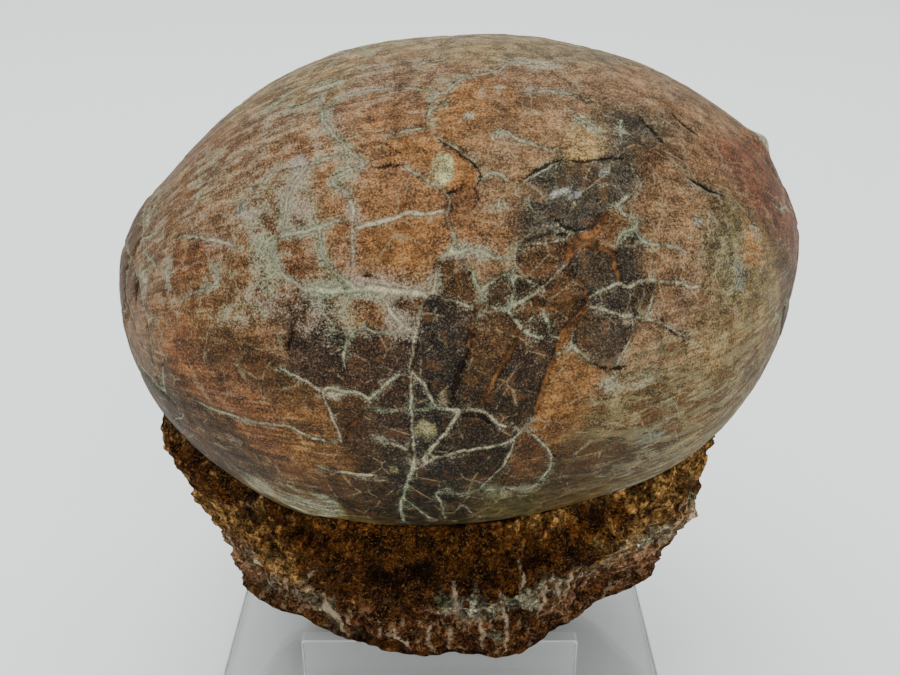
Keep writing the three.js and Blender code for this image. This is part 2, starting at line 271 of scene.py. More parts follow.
# The plates' colours, and where each colour is found: mm along, degrees round and how many mm of
# head start the plate has over its neighbours.
SHELL_COLOURS = {
    "rust": paint(104, 71, 42),
    "orange": paint(108, 72, 37),
    "clay": paint(102, 76, 51),
    "red": paint(89, 55, 31),
    "brown": paint(60, 39, 19),
    "umber": paint(38, 25, 12),
    "maroon": paint(41, 26, 18),
    "slate": paint(26, 22, 18),
    "grey": paint(47, 42, 33),
    "ash": paint(41, 34, 26),
    "pink": paint(102, 78, 54),
    "tan": paint(122, 99, 65),
    "olive": paint(86, 77, 50),
    "straw": paint(106, 88, 56),
    "wine": paint(84, 49, 31),
}
PLATES = [
    ("slate", -1, 17, 2), ("slate", -3, 10, 0), ("slate", -2.5, 4, 0),
    ("grey", 24, 37, 3), ("grey", 30, 42, 3), ("grey", 22, 34, 0), ("grey", 17, 33, 2),
    ("grey", 21, 42.5, 0), ("ash", 24.5, 24.5, 2), ("slate", 31.3, 22.5, 1), ("slate", 34, 28.6, 1),
    ("umber", 9, 21.3, 0), ("umber", 13, 21, 0), ("brown", 16, 26.5, 0), ("brown", 12, 16, 0),
    ("umber", 14.5, 12.8, 0), ("umber", 18, 14.3, 0), ("brown", 18.5, 19.5, 0), ("ash", 27.5, 16.6, 1),
    ("umber", 31, 15.5, 0), ("ash", 24.5, 8, 2), ("brown", 22.5, 12.3, 0), ("pink", 34.5, 6, 1),
    ("brown", 5, 10, 0), ("umber", 3.5, 4, 0), ("brown", 7, 15, 0), ("maroon", 12, 6, 1),
    ("umber", 9, 0, 1), ("umber", 11.5, -4, 0), ("orange", 20, 2, 1), ("orange", 18, -5, 0),
    ("umber", 5, -8.5, 1), ("umber", 2, -6.5, 0), ("umber", 1, -17, 2), ("red", 9, -15, 0),
    ("brown", 12, -22, 0), ("slate", -5.5, -3.5, 1), ("maroon", -10.5, 3.3, 0), ("maroon", -10, 11, 2),
    ("maroon", -13, -4, 1), ("maroon", -5.6, 10.5, 0), ("ash", -7, 18, 0), ("maroon", -23, 14, 1),
    ("maroon", -19, 13, 0), ("maroon", -23, 8, 0), ("brown", -19, 0.5, 0), ("umber", -26, 2, 0),
    ("maroon", -16, -5, 0), ("orange", -25, -3, 0), ("orange", -28, -13, 2), ("red", -36, -10, 2),
    ("orange", -24, -14, 1), ("brown", -17, -13, 1), ("umber", -20, -24, 2), ("ash", -12, -13, 0),
    ("slate", -4, -18, 1), ("ash", -6, -30, 1), ("slate", -4, -22, 0), ("olive", 5, -33, 2),
    ("ash", -17, -34, 1), ("orange", -7, 32, 4), ("rust", -12, 32, 1), ("rust", -16.7, 33, 1),
    ("red", -25, 33, 2), ("rust", -27, 27.5, 0), ("rust", -17, 22, 0), ("rust", -11.5, 22, 0),
    ("rust", -5, 25.5, 2), ("brown", 2, 25.5, 1), ("pink", 6, 27.5, 0), ("rust", 8, 33, 3),
    ("rust", 0.5, 33, 1), ("rust", -8, 42, 4), ("orange", -5, 51, 2), ("orange", 4.6, 45, 1),
    ("red", 4.8, 39, 1), ("pink", 14, 47, 3), ("pink", 10, 40, 2), ("brown", 12.5, 36.5, 1),
    ("tan", 25, 49, 1), ("brown", 37, 47, 1), ("clay", 40, 42, 2), ("clay", 38, 35.5, 2),
    ("clay", 36, 31, 1), ("brown", 46, 34, 1), ("clay", 42, 28, 1), ("clay", 37, 23, 2),
    ("pink", 41.5, 18.5, 0), ("pink", 38.5, 13.5, 2), ("red", 38, 9, 0), ("pink", 44, 9, 1),
    ("rust", 26.5, 29.3, 0), ("olive", 50, 31, 3), ("olive", 51, 17, 3), ("tan", 55, 22, 1),
    ("straw", 56, 9, 3), ("straw", 49, 3, 2), ("tan", 44, -6, 3), ("straw", 34, -10, 4),
    ("straw", 25, -12, 2), ("brown", 22, -22, 2), ("ash", 32, -27, 2), ("straw", 42, -22, 3),
    ("brown", 63, 18, 2), ("wine", 65, 32, 2), ("wine", 59, 45, 4), ("wine", 62, 60, 4),
    ("wine", 54, 54, 3), ("clay", 49, 48, 2), ("clay", 47, 64, 3), ("grey", 35, 56, 3),
    ("straw", 0, 88, 8), ("straw", -22, 84, 7), ("straw", 22, 88, 8), ("orange", 9, 63, 4),
    ("orange", 1, 55, 1), ("rust", -9, 62, 4), ("clay", 20, 56, 3), ("clay", -4, 71, 4),
    ("clay", 36, 72, 6), ("clay", 50, 78, 6), ("clay", 20, 69, 3), ("red", -40, 35, 2),
    ("clay", -43, 48, 3), ("red", -46, 37, 2), ("rust", -35.5, 28, 3), ("rust", -45, 25, 2),
    ("clay", -55, 42, 3), ("rust", -60, 22, 3), ("rust", -57, 13, 2), ("red", -52, 12, 2),
    ("brown", -41, 11, 2), ("brown", -34, 9, 2), ("red", -45, 3, 3), ("maroon", -55, 0, 3),
    ("red", -37, 1, 3), ("clay", -50, 62, 5), ("clay", -40, 68, 6), ("clay", -35, 58, 3),
    ("clay", -28, 62, 3), ("rust", -21, 56, 1), ("brown", -46, -14, 4), ("brown", -55, -16, 3),
    ("brown", 2, 18, 0), ("brown", -62, 50, 4), ("straw", 30, -42, 3), ("straw", -30, -44, 3),
    ("pink", -21, 33, 0), ("ash", -21, 20, 1), ("brown", 45, 44, 0), ("clay", 44, 38, 0),
]

# Patches of one colour laid over the plates: mm along, degrees round, radius along and round it in
# mm, and how fully the patch covers.
PATCHES = [
    ("spot", 1.9, 45.5, 2.1, 2.9, 1.0),
    ("spot", 22.6, 36.4, 0.5, 0.5, 1.0),
    ("spot", -13, -16.6, 0.9, 0.9, 0.7),
    ("spot", -6.2, -6, 2.2, 1.8, 0.8),
    # A pale streak, painted very pale as a highlight along it.
    ("white_and_highlight", 21.5, 38.7, 2.8, 0.5, 0.5),
    ("white_and_highlight", 28.5, 43.2, 1.2, 0.8, 0.35),
    ("bone", -32, -38, 6.5, 5.5, 0.9),
    ("bone", -28, -33, 3.0, 3.5, 0.8),
    ("bone", -41, -34, 3.5, 4.0, 0.6),
    ("bone", 3.4, 29.2, 2.6, 1.0, 0.8),
    ("bone", 61.6, 80, 2.4, 2.4, 0.9),
    ("bone", 12.2, 52, 1.8, 0.9, 0.8),
    ("bone", 7, 57, 1.2, 0.8, 0.7),
    ("bone", 13, 65, 1.0, 0.8, 0.6),
    ("bone", 10.5, 36.7, 1.6, 0.9, 0.5),
    ("bone", 26, -1.6, 2.2, 1.4, 0.8),
    ("bone", 31, -3, 3.5, 1.8, 0.6),
    ("bone", 51, 19.6, 1.0, 2.0, 0.6),
    ("bone", -57.5, 36.5, 1.8, 3.4, 0.45),
    ("bone", -20.5, 3.6, 2.0, 1.2, 0.7),
    ("bone", -18, 75, 4.0, 1.8, 0.6),
    ("bone", 21, 74, 4.0, 1.8, 0.5),
    ("bone", 26.5, 55.7, 2.0, 1.0, 0.7),
    ("blue", 51.5, 15, 1.2, 2.6, 0.5),
    ("blue", 44, 32, 1.0, 0.7, 0.7),
    ("blue", -23, 53, 2.2, 2.0, 0.6),
    ("blue", -33.5, 45.5, 1.4, 2.0, 0.6),
    ("blue", 33, -22, 3.0, 2.0, 0.5),
    ("blue", 30, -46, 7.0, 2.2, 0.6),
    ("black", -18.8, 15.6, 1.6, 1.0, 0.9),
    ("black", -28.7, 16, 1.0, 0.8, 0.6),
    ("black", -30.8, 20.6, 0.5, 0.5, 0.8),
    ("black", -24, 13, 0.6, 0.5, 0.8),
    ("black", 16.5, 41.5, 1.5, 0.7, 0.4),
    ("black", 8.8, 5.6, 1.4, 1.0, 0.6),
    ("black", 27, 2.8, 2.0, 1.0, 0.4),
    ("tanned", 54, 27, 1.2, 3.5, 0.6),
    ("tanned", 54.5, 21.5, 3.0, 2.0, 0.7),
    ("tanned", 20.5, -3.2, 0.8, 0.8, 0.5),
]
PATCH_COLOURS = {
    "spot": paint(142, 136, 96),
    # Used for pale streaks, one of them painted as a highlight.
    "white_and_highlight": paint(166, 166, 156),
    "bone": paint(132, 132, 108),
    "blue": paint(96, 104, 100),
    "black": paint(24, 22, 21),
    "tanned": paint(150, 108, 64),
}

# Where the thin pale film lies over the plates, in the same way as the patches.
FILM = [
    (-31, 41, 3.5, 12, 0.8), (-31, 24, 8, 4, 0.75), (-20, 21.5, 9, 3, 0.75), (-20, 18, 5, 3.5, 0.7),
    (-36, 21, 6, 2.5, 0.6), (-24, 45, 5, 8, 0.95), (-14.5, 46, 4, 4, 0.7), (-18, 57, 6, 7, 0.6),
    (-25, 70, 9, 8, 0.6), (-8, 74, 12, 7, 0.5), (-8, 17.5, 2.5, 3, 0.7), (-11, 24, 9, 2.6, 0.95),
    (-36, 44, 5, 5, 0.45), (-50, 35, 2, 9, 0.5), (-52, 52, 6, 12, 0.4), (-46, -16, 9, 5, 0.15),
    (-36, -30, 7, 4, 0.6), (25.5, -3.5, 4, 3.5, 0.6), (32, -3, 5, 3, 0.5), (42, 1, 7, 4, 0.35),
    (38, -14, 8, 5, 0.35), (-41, 27, 4, 3, 0.3), (10, 36, 4, 3, 0.45), (6, 29, 5, 2, 0.6),
    (-14, 40, 3, 4, 0.5), (-19, 30, 3, 6, 0.5), (20, 76, 10, 6, 0.55), (12, 72, 6, 3, 0.4),
    (28, 53, 6, 5, 0.35), (37, 39, 4, 3, 0.3), (33, 31, 4, 2, 0.35), (45, 25, 5, 5, 0.4),
    (51, 16, 3, 6, 0.45), (35, -32, 14, 8, 0.4), (48, -20, 8, 8, 0.4), (-58, -20, 9, 12, 0.15),
    (-26, 62, 10, 9, 0.5), (-40, 55, 10, 9, 0.5), (-12, 67, 12, 7, 0.4), (-30, 33, 3.5, 9, 0.95),
    (-17, 25, 10, 3, 0.7), (-23, 33, 3, 6, 0.4), (-22, 40, 4, 5, 0.5), (-35, 49, 4, 7, 0.5),
    (-17, 62, 3, 7, 0.7), (-14, 49, 4, 3, 0.7), (-24, 46, 3, 6, 0.6), (6, 68, 7, 2, 0.5),
    (-9, 68, 7, 1.5, 0.5), (22, 64, 5, 1.2, 0.5), (-27, 31, 2, 6, 0.6),
    (20, 43.5, 4, 2, 0.35), (-42, 60, 8, 10, 0.5), (0, 62, 8, 3, 0.35), (-5, -14, 5, 3, 0.12),
    (-10, -22, 5, 10, 0.2), (-14, -8, 4, 2, 0.3), (8, -27, 9, 3, 0.4), (60, 4, 8, 12, 0.25),
    (-27, 37, 13, 15, 0.45), (-38, 30, 8, 12, 0.35), (0, 72, 46, 16, 0.3), (2, 24, 16, 8, 0.2),
    (40, 36, 14, 12, 0.2), (0, 95, 40, 14, 0.45), (0, 130, 50, 30, 0.3), (10, 180, 40, 30, 0.3),
    (-30, 220, 30, 20, 0.35),
]


def soft_noise(points, size, seed):
    """Gradient noise, about -1 to 1, with lumps of the given size. Each corner of a cubic lattice has
    a random slope, and the eight slopes round a point are blended with a quintic ease."""
    draw = np.random.default_rng(seed)
    table = draw.permutation(256)
    slopes = draw.normal(size=(256, 3))
    slopes /= np.linalg.norm(slopes, axis=1, keepdims=True)
    place = points / size
    cell = np.floor(place).astype(int)
    inside = place - cell
    ease = inside ** 3 * (inside * (inside * 6 - 15) + 10)
    total = np.zeros(points.shape[:-1])
    for corner in np.ndindex(2, 2, 2):
        node = (cell + corner) & 255
        pick = table[(table[(table[node[..., 0]] + node[..., 1]) & 255] + node[..., 2]) & 255]
        lean = np.sum(slopes[pick] * (inside - corner), axis=-1)
        share = np.prod(np.where(np.array(corner) == 1, ease, 1 - ease), axis=-1)
        total += share * lean
    return total * 1.6


def rough_noise(points, size, seed, layers=4):
    """Soft noise summed over layers, each half as large and half as strong as the one before."""
    total = np.zeros(points.shape[:-1])
    for layer in range(layers):
        total += soft_noise(points, size / 2 ** layer, seed + layer) / 2 ** layer
    return total


def smooth_step(low, high, value):
    """0 below low, 1 above high, and an S-shaped ramp between."""
    share = np.clip((value - low) / (high - low), 0, 1)
    return share * share * (3 - 2 * share)


def ball_grid(columns, rows):
    """Unit vectors over a whole ball from a square grid. The square becomes a disc ring by ring, and
    the disc's radius r becomes the angle 2 arcsin r from the top, so all cells have the same area.
    The whole edge of the square is one point at the bottom."""
    across, along = np.meshgrid(np.linspace(-1, 1, columns + 1), np.linspace(-1, 1, rows + 1),
                                indexing="ij")
    wide = np.abs(across) > np.abs(along)
    reach = np.where(wide, across, along)
    ratio = np.where(wide, along, across) / np.where(reach == 0, 1, reach)
    turn = np.where(wide, np.pi / 4 * ratio, np.pi / 2 - np.pi / 4 * ratio)
    down = 2 * np.arcsin(np.clip(np.abs(reach), 0, 1))
    sign = np.sign(reach)
    return np.stack([sign * np.sin(down) * np.cos(turn), sign * np.sin(down) * np.sin(turn),
                     np.cos(down)], axis=-1)


def shell_point(along, degrees):
    """The point of the smooth ellipsoid at mm along its long axis and degrees round it."""
    along = np.asarray(along, float)
    angle = np.radians(degrees)
    radius = EGG_AXES[1] * np.sqrt(np.clip(1 - (along / EGG_AXES[0]) ** 2, 0, 1))
    return np.stack([along, -radius * np.cos(angle), radius * np.sin(angle)], axis=-1)


def curve_through(places, spacing):
    """Points about evenly spaced along a smooth (Catmull-Rom) curve through the listed places."""
    knots = np.array(places, float)
    knots = np.concatenate([2 * knots[:1] - knots[1:2], knots, 2 * knots[-1:] - knots[-2:-1]])
    pieces = []
    for before, start, end, after in zip(knots[:-3], knots[1:-2], knots[2:-1], knots[3:]):
        steps = max(2, int(np.linalg.norm(end - start) / spacing))
        t = np.linspace(0, 1, steps, endpoint=False)[:, None]
        pieces.append(0.5 * (2 * start + (end - before) * t
                             + (2 * before - 5 * start + 4 * end - after) * t ** 2
                             + (3 * start - before - 3 * end + after) * t ** 3))
    pieces.append(knots[-2:-1])
    return np.concatenate(pieces)


class Lines:
    """For every point of a surface, the vector to the nearest of a set of lines, and its width."""

    FAR = 9.0

    def __init__(self, count):
        self.toward = np.full((count, 3), self.FAR / np.sqrt(3))
        self.gap = np.full(count, self.FAR)
        self.width = np.full(count, 0.5)

    def add(self, points, path, width, reach=4.0):
        """Where the path is nearer than any line before it, it becomes the nearest. Its width fades
        towards both ends."""
        step = np.linalg.norm(np.diff(path, axis=0), axis=1)
        run = np.concatenate([[0], np.cumsum(step)])
        width = width * (0.3 + 0.7 * smooth_step(0, 3.0, np.minimum(run, run[-1] - run)))
        low = path.min(axis=0) - reach
        high = path.max(axis=0) + reach
        near = np.flatnonzero(np.all((points > low) & (points < high), axis=1))
        for part in np.array_split(near, max(1, len(near) * len(path) // 4_000_000)):
            if len(part) == 0:
                continue
            away = path[None, :, :] - points[part][:, None, :]
            square = np.einsum("ijk,ijk->ij", away, away)
            best = np.argmin(square, axis=1)
            gap = np.sqrt(square[np.arange(len(part)), best])
            closer = gap < self.gap[part]
            chosen = part[closer]
            self.gap[chosen] = gap[closer]
            self.toward[chosen] = away[np.flatnonzero(closer), best[closer]]
            self.width[chosen] = width[best[closer]]

    def add_cells(self, points, centres, where, width):
        """Lines half way between each pair of neighbouring centres, wherever the mask is true."""
        chosen = np.flatnonzero(where)
        square = ((points[chosen][:, None, :] - centres[None, :, :]) ** 2).sum(axis=2)
        order = np.argsort(square, axis=1)[:, :2]
        first = centres[order[:, 0]]
        second = centres[order[:, 1]]
        span = np.linalg.norm(second - first, axis=1)
        rows = np.arange(len(chosen))
        gap = (square[rows, order[:, 1]] - square[rows, order[:, 0]]) / (2 * span)
        closer = gap < self.gap[chosen]
        picked = chosen[closer]
        self.gap[picked] = gap[closer]
        self.toward[picked] = ((second - first) * (gap / span)[:, None])[closer]
        self.width[picked] = width[order[:, 0]][closer]
        return order[:, 0]


NEIGHBOURS = [
    (np.s_[1:, :], np.s_[:-1, :]),
    (np.s_[:-1, :], np.s_[1:, :]),
    (np.s_[:, 1:], np.s_[:, :-1]),
    (np.s_[:, :-1], np.s_[:, 1:]),
]


def soften(values, barrier, rounds):
    """Grid values averaged with their four neighbours a number of times, but not over a barrier."""
    clear = 1.0 - barrier
    for _ in range(rounds):
        total = values.copy()
        weight = np.ones(barrier.shape)
        for into, out in NEIGHBOURS:
            link = clear[into] * clear[out]
            total[into] += link[..., None] * values[out]
            weight[into] += link
        values = total / weight[..., None]
    return values


def spread_plates(shape, points, seeds, barrier):
    """Labels every grid point with the plate whose seed reaches it most cheaply. A step costs its
    length, more where noise is high, and crossing a crack costs several mm, so that colours stop at
    the cracks."""
    flat = points.reshape(-1, 3)
    cost = np.full(shape, 1e9)
    label = np.zeros(shape, int)
    for number, (_, along, degrees, start) in enumerate(seeds):
        place = shell_point(along, degrees)
        nearest = np.argmin(((flat - place) ** 2).sum(axis=1))
        spot = np.unravel_index(nearest, shape)
        cost[spot] = -start
        label[spot] = number
    drag = 1 + 0.45 * soft_noise(points, 2.5, 31) + CRACK_DRAG * barrier
    lengths = [np.linalg.norm(points[into] - points[out], axis=-1) * np.clip(drag[into], 0.3, 12)
               for into, out in NEIGHBOURS]
    for _ in range(SPREAD_ROUNDS):
        for (into, out), length in zip(NEIGHBOURS, lengths):
            offer = cost[out] + length
            better = offer < cost[into]
            cost[into] = np.where(better, offer, cost[into])
            label[into] = np.where(better, label[out], label[into])
    return label


def swell_height(points, swells):
    """Height of the listed swells, each a bell of the distance from its middle."""
    height = np.zeros(len(points))
    for along, degrees, radius, rise in swells:
        away = np.linalg.norm(points - shell_point(along, degrees), axis=1)
        height += rise * np.exp(-(away / radius) ** 2)
    return height


def blob(points, along, degrees, radius_along, radius_round):
    """1 in the middle of an oval on the shell, falling to 0 as a bell."""
    middle = shell_point(along, degrees)
    away = points - middle
    angle = np.radians(degrees)
    up = np.array([0, np.sin(angle), np.cos(angle)])
    round_about = (away * up).sum(axis=-1)
    outward = np.sqrt(np.clip((away ** 2).sum(axis=-1) - away[..., 0] ** 2 - round_about ** 2, 0, None))
    return np.exp(-(away[..., 0] / radius_along) ** 2 - (round_about / radius_round) ** 2
                  - (outward / (radius_round + radius_along)) ** 2)


def close_square(columns, rows):
    """Quads of a square grid whose whole edge is one point: for each corner its point number."""
    number = np.zeros((columns + 1, rows + 1), int)
    number[1:-1, 1:-1] = 1 + np.arange((columns - 1) * (rows - 1)).reshape(columns - 1, rows - 1)
    quads = np.stack([number[:-1, :-1], number[1:, :-1], number[1:, 1:], number[:-1, 1:]], axis=-1)
    return quads.reshape(-1, 4)


def make_piece(name, points, faces):
    """A smooth-shaded mesh object from points in mm and faces as rows of point numbers. Repeated
    numbers in a row are dropped, so a quad with a shared corner becomes a triangle."""
    faces = np.asarray(faces)
    keep = faces != np.roll(faces, 1, axis=1)
    whole = keep.sum(axis=1) >= 3
    faces = faces[whole]
    keep = keep[whole]
    sizes = keep.sum(axis=1)
    corners = faces[keep]
    mesh = bpy.data.meshes.new(name)
    mesh.vertices.add(len(points))
    mesh.vertices.foreach_set("co", np.ascontiguousarray(points * MM, dtype=np.float32).ravel())
    mesh.loops.add(len(corners))
    mesh.loops.foreach_set("vertex_index", corners.astype(np.int32))
    mesh.polygons.add(len(sizes))
    starts = np.concatenate([[0], np.cumsum(sizes)[:-1]]).astype(np.int32)
    mesh.polygons.foreach_set("loop_start", starts)
    mesh.update(calc_edges=True)
    mesh.validate()
    mesh.polygons.foreach_set("use_smooth", np.ones(len(mesh.polygons), bool))
    piece = bpy.data.objects.new(name, mesh)
    bpy.context.scene.collection.objects.link(piece)
    return piece


def set_values(piece, name, values):
    """Stores one number or one vector for every point of the piece."""
    values = np.asarray(values, np.float32)
    kind = {1: "FLOAT", 2: "FLOAT_VECTOR"}[values.ndim]
    key = "value" if kind == "FLOAT" else "vector"
    layer = piece.data.attributes.new(name, kind, "POINT")
    layer.data.foreach_set(key, np.ascontiguousarray(values).ravel())


def make_egg():
    """The shell: the ellipsoid grid, snapped to the cracks, raised by swells and plates, and cut by
    grooves, with the colour fields that the shell's finish reads."""
    unit = ball_grid(EGG_COLUMNS, EGG_ROWS)
    shape = unit.shape[:2]
    base = (unit * EGG_AXES).reshape(-1, 3)
    degrees = np.degrees(np.arctan2(base[:, 2], -base[:, 1]))
    degrees = np.where(degrees < -95, degrees + 360, degrees)
    count = len(base)

    def ragged(path):
        shift = np.stack([soft_noise(path, 1.7, 40 + axis) for axis in range(3)], axis=-1)
        return path + 0.28 * shift

    fields = {}
    for kind, listed in (("pale", PALE_VEINS), ("rusty", RUST_VEINS), ("dark", SHADOWED_CRACKS)):
        field = Lines(count)
        for width, places in listed:
            path = curve_through(places, PATH_STEP)
            field.add(base, ragged(shell_point(path[:, 0], path[:, 1])), width)
        fields[kind] = field

    # The far side and the ends have cracks of the same kind, between scattered plate centres.
    draw = np.random.default_rng(7)
    spots = draw.normal(size=(FAR_SPOTS, 3))
    spots /= np.linalg.norm(spots, axis=1, keepdims=True)
    centres = spots[:FAR_PLATES] * EGG_AXES
    bent = base + 1.3 * np.stack([soft_noise(base, 9, 60 + axis) for axis in range(3)], axis=-1)
    far_side = (degrees > 84) | (degrees < -52) | (base[:, 0] < -53) | (base[:, 0] > 61)
    widths = np.where(draw.random(FAR_PLATES) < 0.6, 0.3, 0.65)
    cell = np.zeros(count, int)
    cell[far_side] = fields["pale"].add_cells(bent, centres, far_side, widths)

    # Points less than half a cell from a line move onto it, so that grooves and edges are crisp.
    gaps = np.stack([field.gap for field in fields.values()])
    nearest = np.argmin(gaps, axis=0)
    toward = np.stack([field.toward for field in fields.values()])[nearest, np.arange(count)]
    gap = gaps.min(axis=0)
    snap = (gap < SNAP_REACH * EGG_CELL)[:, None] * toward
    base = base + snap
    for field in fields.values():
        field.toward = field.toward - snap
        close = field.gap < Lines.FAR - 1
        field.gap = np.where(close, np.linalg.norm(field.toward, axis=1), field.gap)

    barrier = (gap < BARRIER_REACH * EGG_CELL).reshape(shape)
    label = spread_plates(shape, base.reshape(*shape, 3), PLATES, barrier).ravel()
    palette = np.array([SHELL_COLOURS[name] for name, *_ in PLATES])
    shade = 1 + 0.10 * draw.normal(size=len(PLATES))
    colour = palette[label] * shade[label][:, None]
    mix = draw.integers(0, len(SHELL_COLOURS), FAR_PLATES)
    plain = np.array([SHELL_COLOURS[name] for name in ("rust", "brown", "straw", "umber", "red", "pink")])
    other = 0.6 * plain[mix[cell] % len(plain)] + 0.4 * plain.mean(axis=0)
    beyond = smooth_step(98, 108, degrees) + (degrees < -58)
    beyond = np.clip(beyond, 0, 1)[:, None]
    colour = colour * (1 - beyond) + other * beyond
    colour = soften(colour.reshape(*shape, 3), barrier.astype(float), SOFTEN_ROUNDS).reshape(-1, 3)
    cloud = rough_noise(base, 8, 70, 4)[:, None]
    warmth = soft_noise(base, 6, 80)[:, None] * np.array([0.07, 0.0, -0.16])
    colour = colour * np.clip(1 + 0.24 * cloud + warmth, 0.4, 1.8)

    # Painted shade: the plates' colour is darkened low on the shell, and made warmer there.
    low = smooth_step(16, -40, degrees)[:, None]
    colour = colour * (1 - low * np.array([0.38, 0.4, 0.56]))
    ragged_edge = 0.55 * rough_noise(base, 3.0, 90, 3)
    for name, along, angle, wide, tall, cover in PATCHES:
        inside = smooth_step(0.32, 0.52, blob(base, along, angle, wide, tall) + 0.16 * ragged_edge)
        amount = (inside * cover)[:, None]
        colour = colour * (1 - amount) + PATCH_COLOURS[name] * amount
    film = np.zeros(count)
    for along, angle, wide, tall, cover in FILM:
        film = np.maximum(film, cover * blob(base, along, angle, wide * 1.2, tall * 1.2))

    normal = base / EGG_AXES ** 2
    normal /= np.linalg.norm(normal, axis=1, keepdims=True)
    height = swell_height(base, EGG_SWELLS + EGG_CRUSTS)
    lift = PLATE_LIFT * draw.normal(size=len(PLATES))
    height += lift[label] * (1 - beyond[:, 0]) * np.clip(gap, 0, 0.8)
    height += SHELL_WAVE * rough_noise(base, 14, 3, 3) + SHELL_GRIT * rough_noise(base, 2.4, 9, 3)
    height -= SEAM_DIP * np.exp(-gap / 0.7)
    pale, rusty, dark = (fields[kind] for kind in ("pale", "rusty", "dark"))
    height -= PALE_DEPTH * np.exp(-(pale.gap / (0.5 * pale.width + 0.2)) ** 2)
    height -= RUST_DEPTH * np.exp(-(rusty.gap / (0.5 * rusty.width + 0.1)) ** 2)
    height -= DARK_DEPTH * dark.width * np.exp(-(dark.gap / (0.4 * dark.width + 0.15)) ** 2)

    points = base + normal * height[:, None]
    tilt = np.array([[np.cos(EGG_TILT), 0, np.sin(EGG_TILT)], [0, 1, 0],
                     [-np.sin(EGG_TILT), 0, np.cos(EGG_TILT)]])
    points = points @ tilt + EGG_CENTRE

    # The first point of the closed grid is the bottom pole, where the square's edge meets.
    inner = np.zeros(shape, bool)
    inner[1:-1, 1:-1] = True
    rows = np.concatenate([[0], np.flatnonzero(inner.ravel())])
    piece = make_piece("egg_shell", points[rows], close_square(EGG_COLUMNS, EGG_ROWS))
    for kind in fields:
        set_values(piece, kind + "_toward", fields[kind].toward[rows])
        set_values(piece, kind + "_gap", fields[kind].gap[rows])
        set_values(piece, kind + "_width", fields[kind].width[rows])
    set_values(piece, "plate_colour", colour[rows])
    set_values(piece, "film", film[rows])

    # Where the shell is streaked along its length: low towards both ends, at the left end, and high
    # on the left.
    streaky = smooth_step(14, -14, degrees) * smooth_step(8, 32, np.abs(base[:, 0]))
    streaky += 0.5 * smooth_step(-30, -50, base[:, 0])
    streaky += 0.8 * smooth_step(42, 60, degrees) * smooth_step(10, -25, base[:, 0])
    streaky = np.clip(streaky, 0, 1)
    set_values(piece, "streaky", streaky[rows])

    # Places along a meridian and round the egg, which the streaks follow.
    polar = np.arccos(np.clip(base[:, 0] / EGG_AXES[0], -1, 1))
    flow = np.stack([MERIDIAN * polar, EGG_AXES[1] * np.radians(degrees), 0 * polar], axis=-1)
    set_values(piece, "flow", (flow * MM)[rows])

    # Painted shade: the shell's colour is darkened low down, most of all in the middle.
    # It is also a little darker at the left tip.
    low_middle = smooth_step(36, 16, np.abs(base[:, 0])) * smooth_step(4, -20, degrees)
    shade = (1 - 0.2 * smooth_step(20, -25, degrees) - 0.12 * low_middle
             - 0.06 * smooth_step(-40, -60, base[:, 0]))
    set_values(piece, "shade", shade[rows])

    # Where a thin web of pale seams shows: over the top and towards both ends, but little at the
    # right tip.
    webbed = np.maximum(smooth_step(46, 60, degrees), smooth_step(24, 36, np.abs(base[:, 0])))
    webbed = webbed * smooth_step(-8, 12, degrees) * (1 - beyond[:, 0])
    webbed = webbed * (1 - 0.8 * smooth_step(48, 58, base[:, 0]))
    set_values(piece, "webbed", webbed[rows])

    # Where pale bands lie among the streaks of the right half.
    banded = streaky * smooth_step(5, 25, base[:, 0]) * smooth_step(64, 52, base[:, 0])
    set_values(piece, "banded", banded[rows])
    return piece


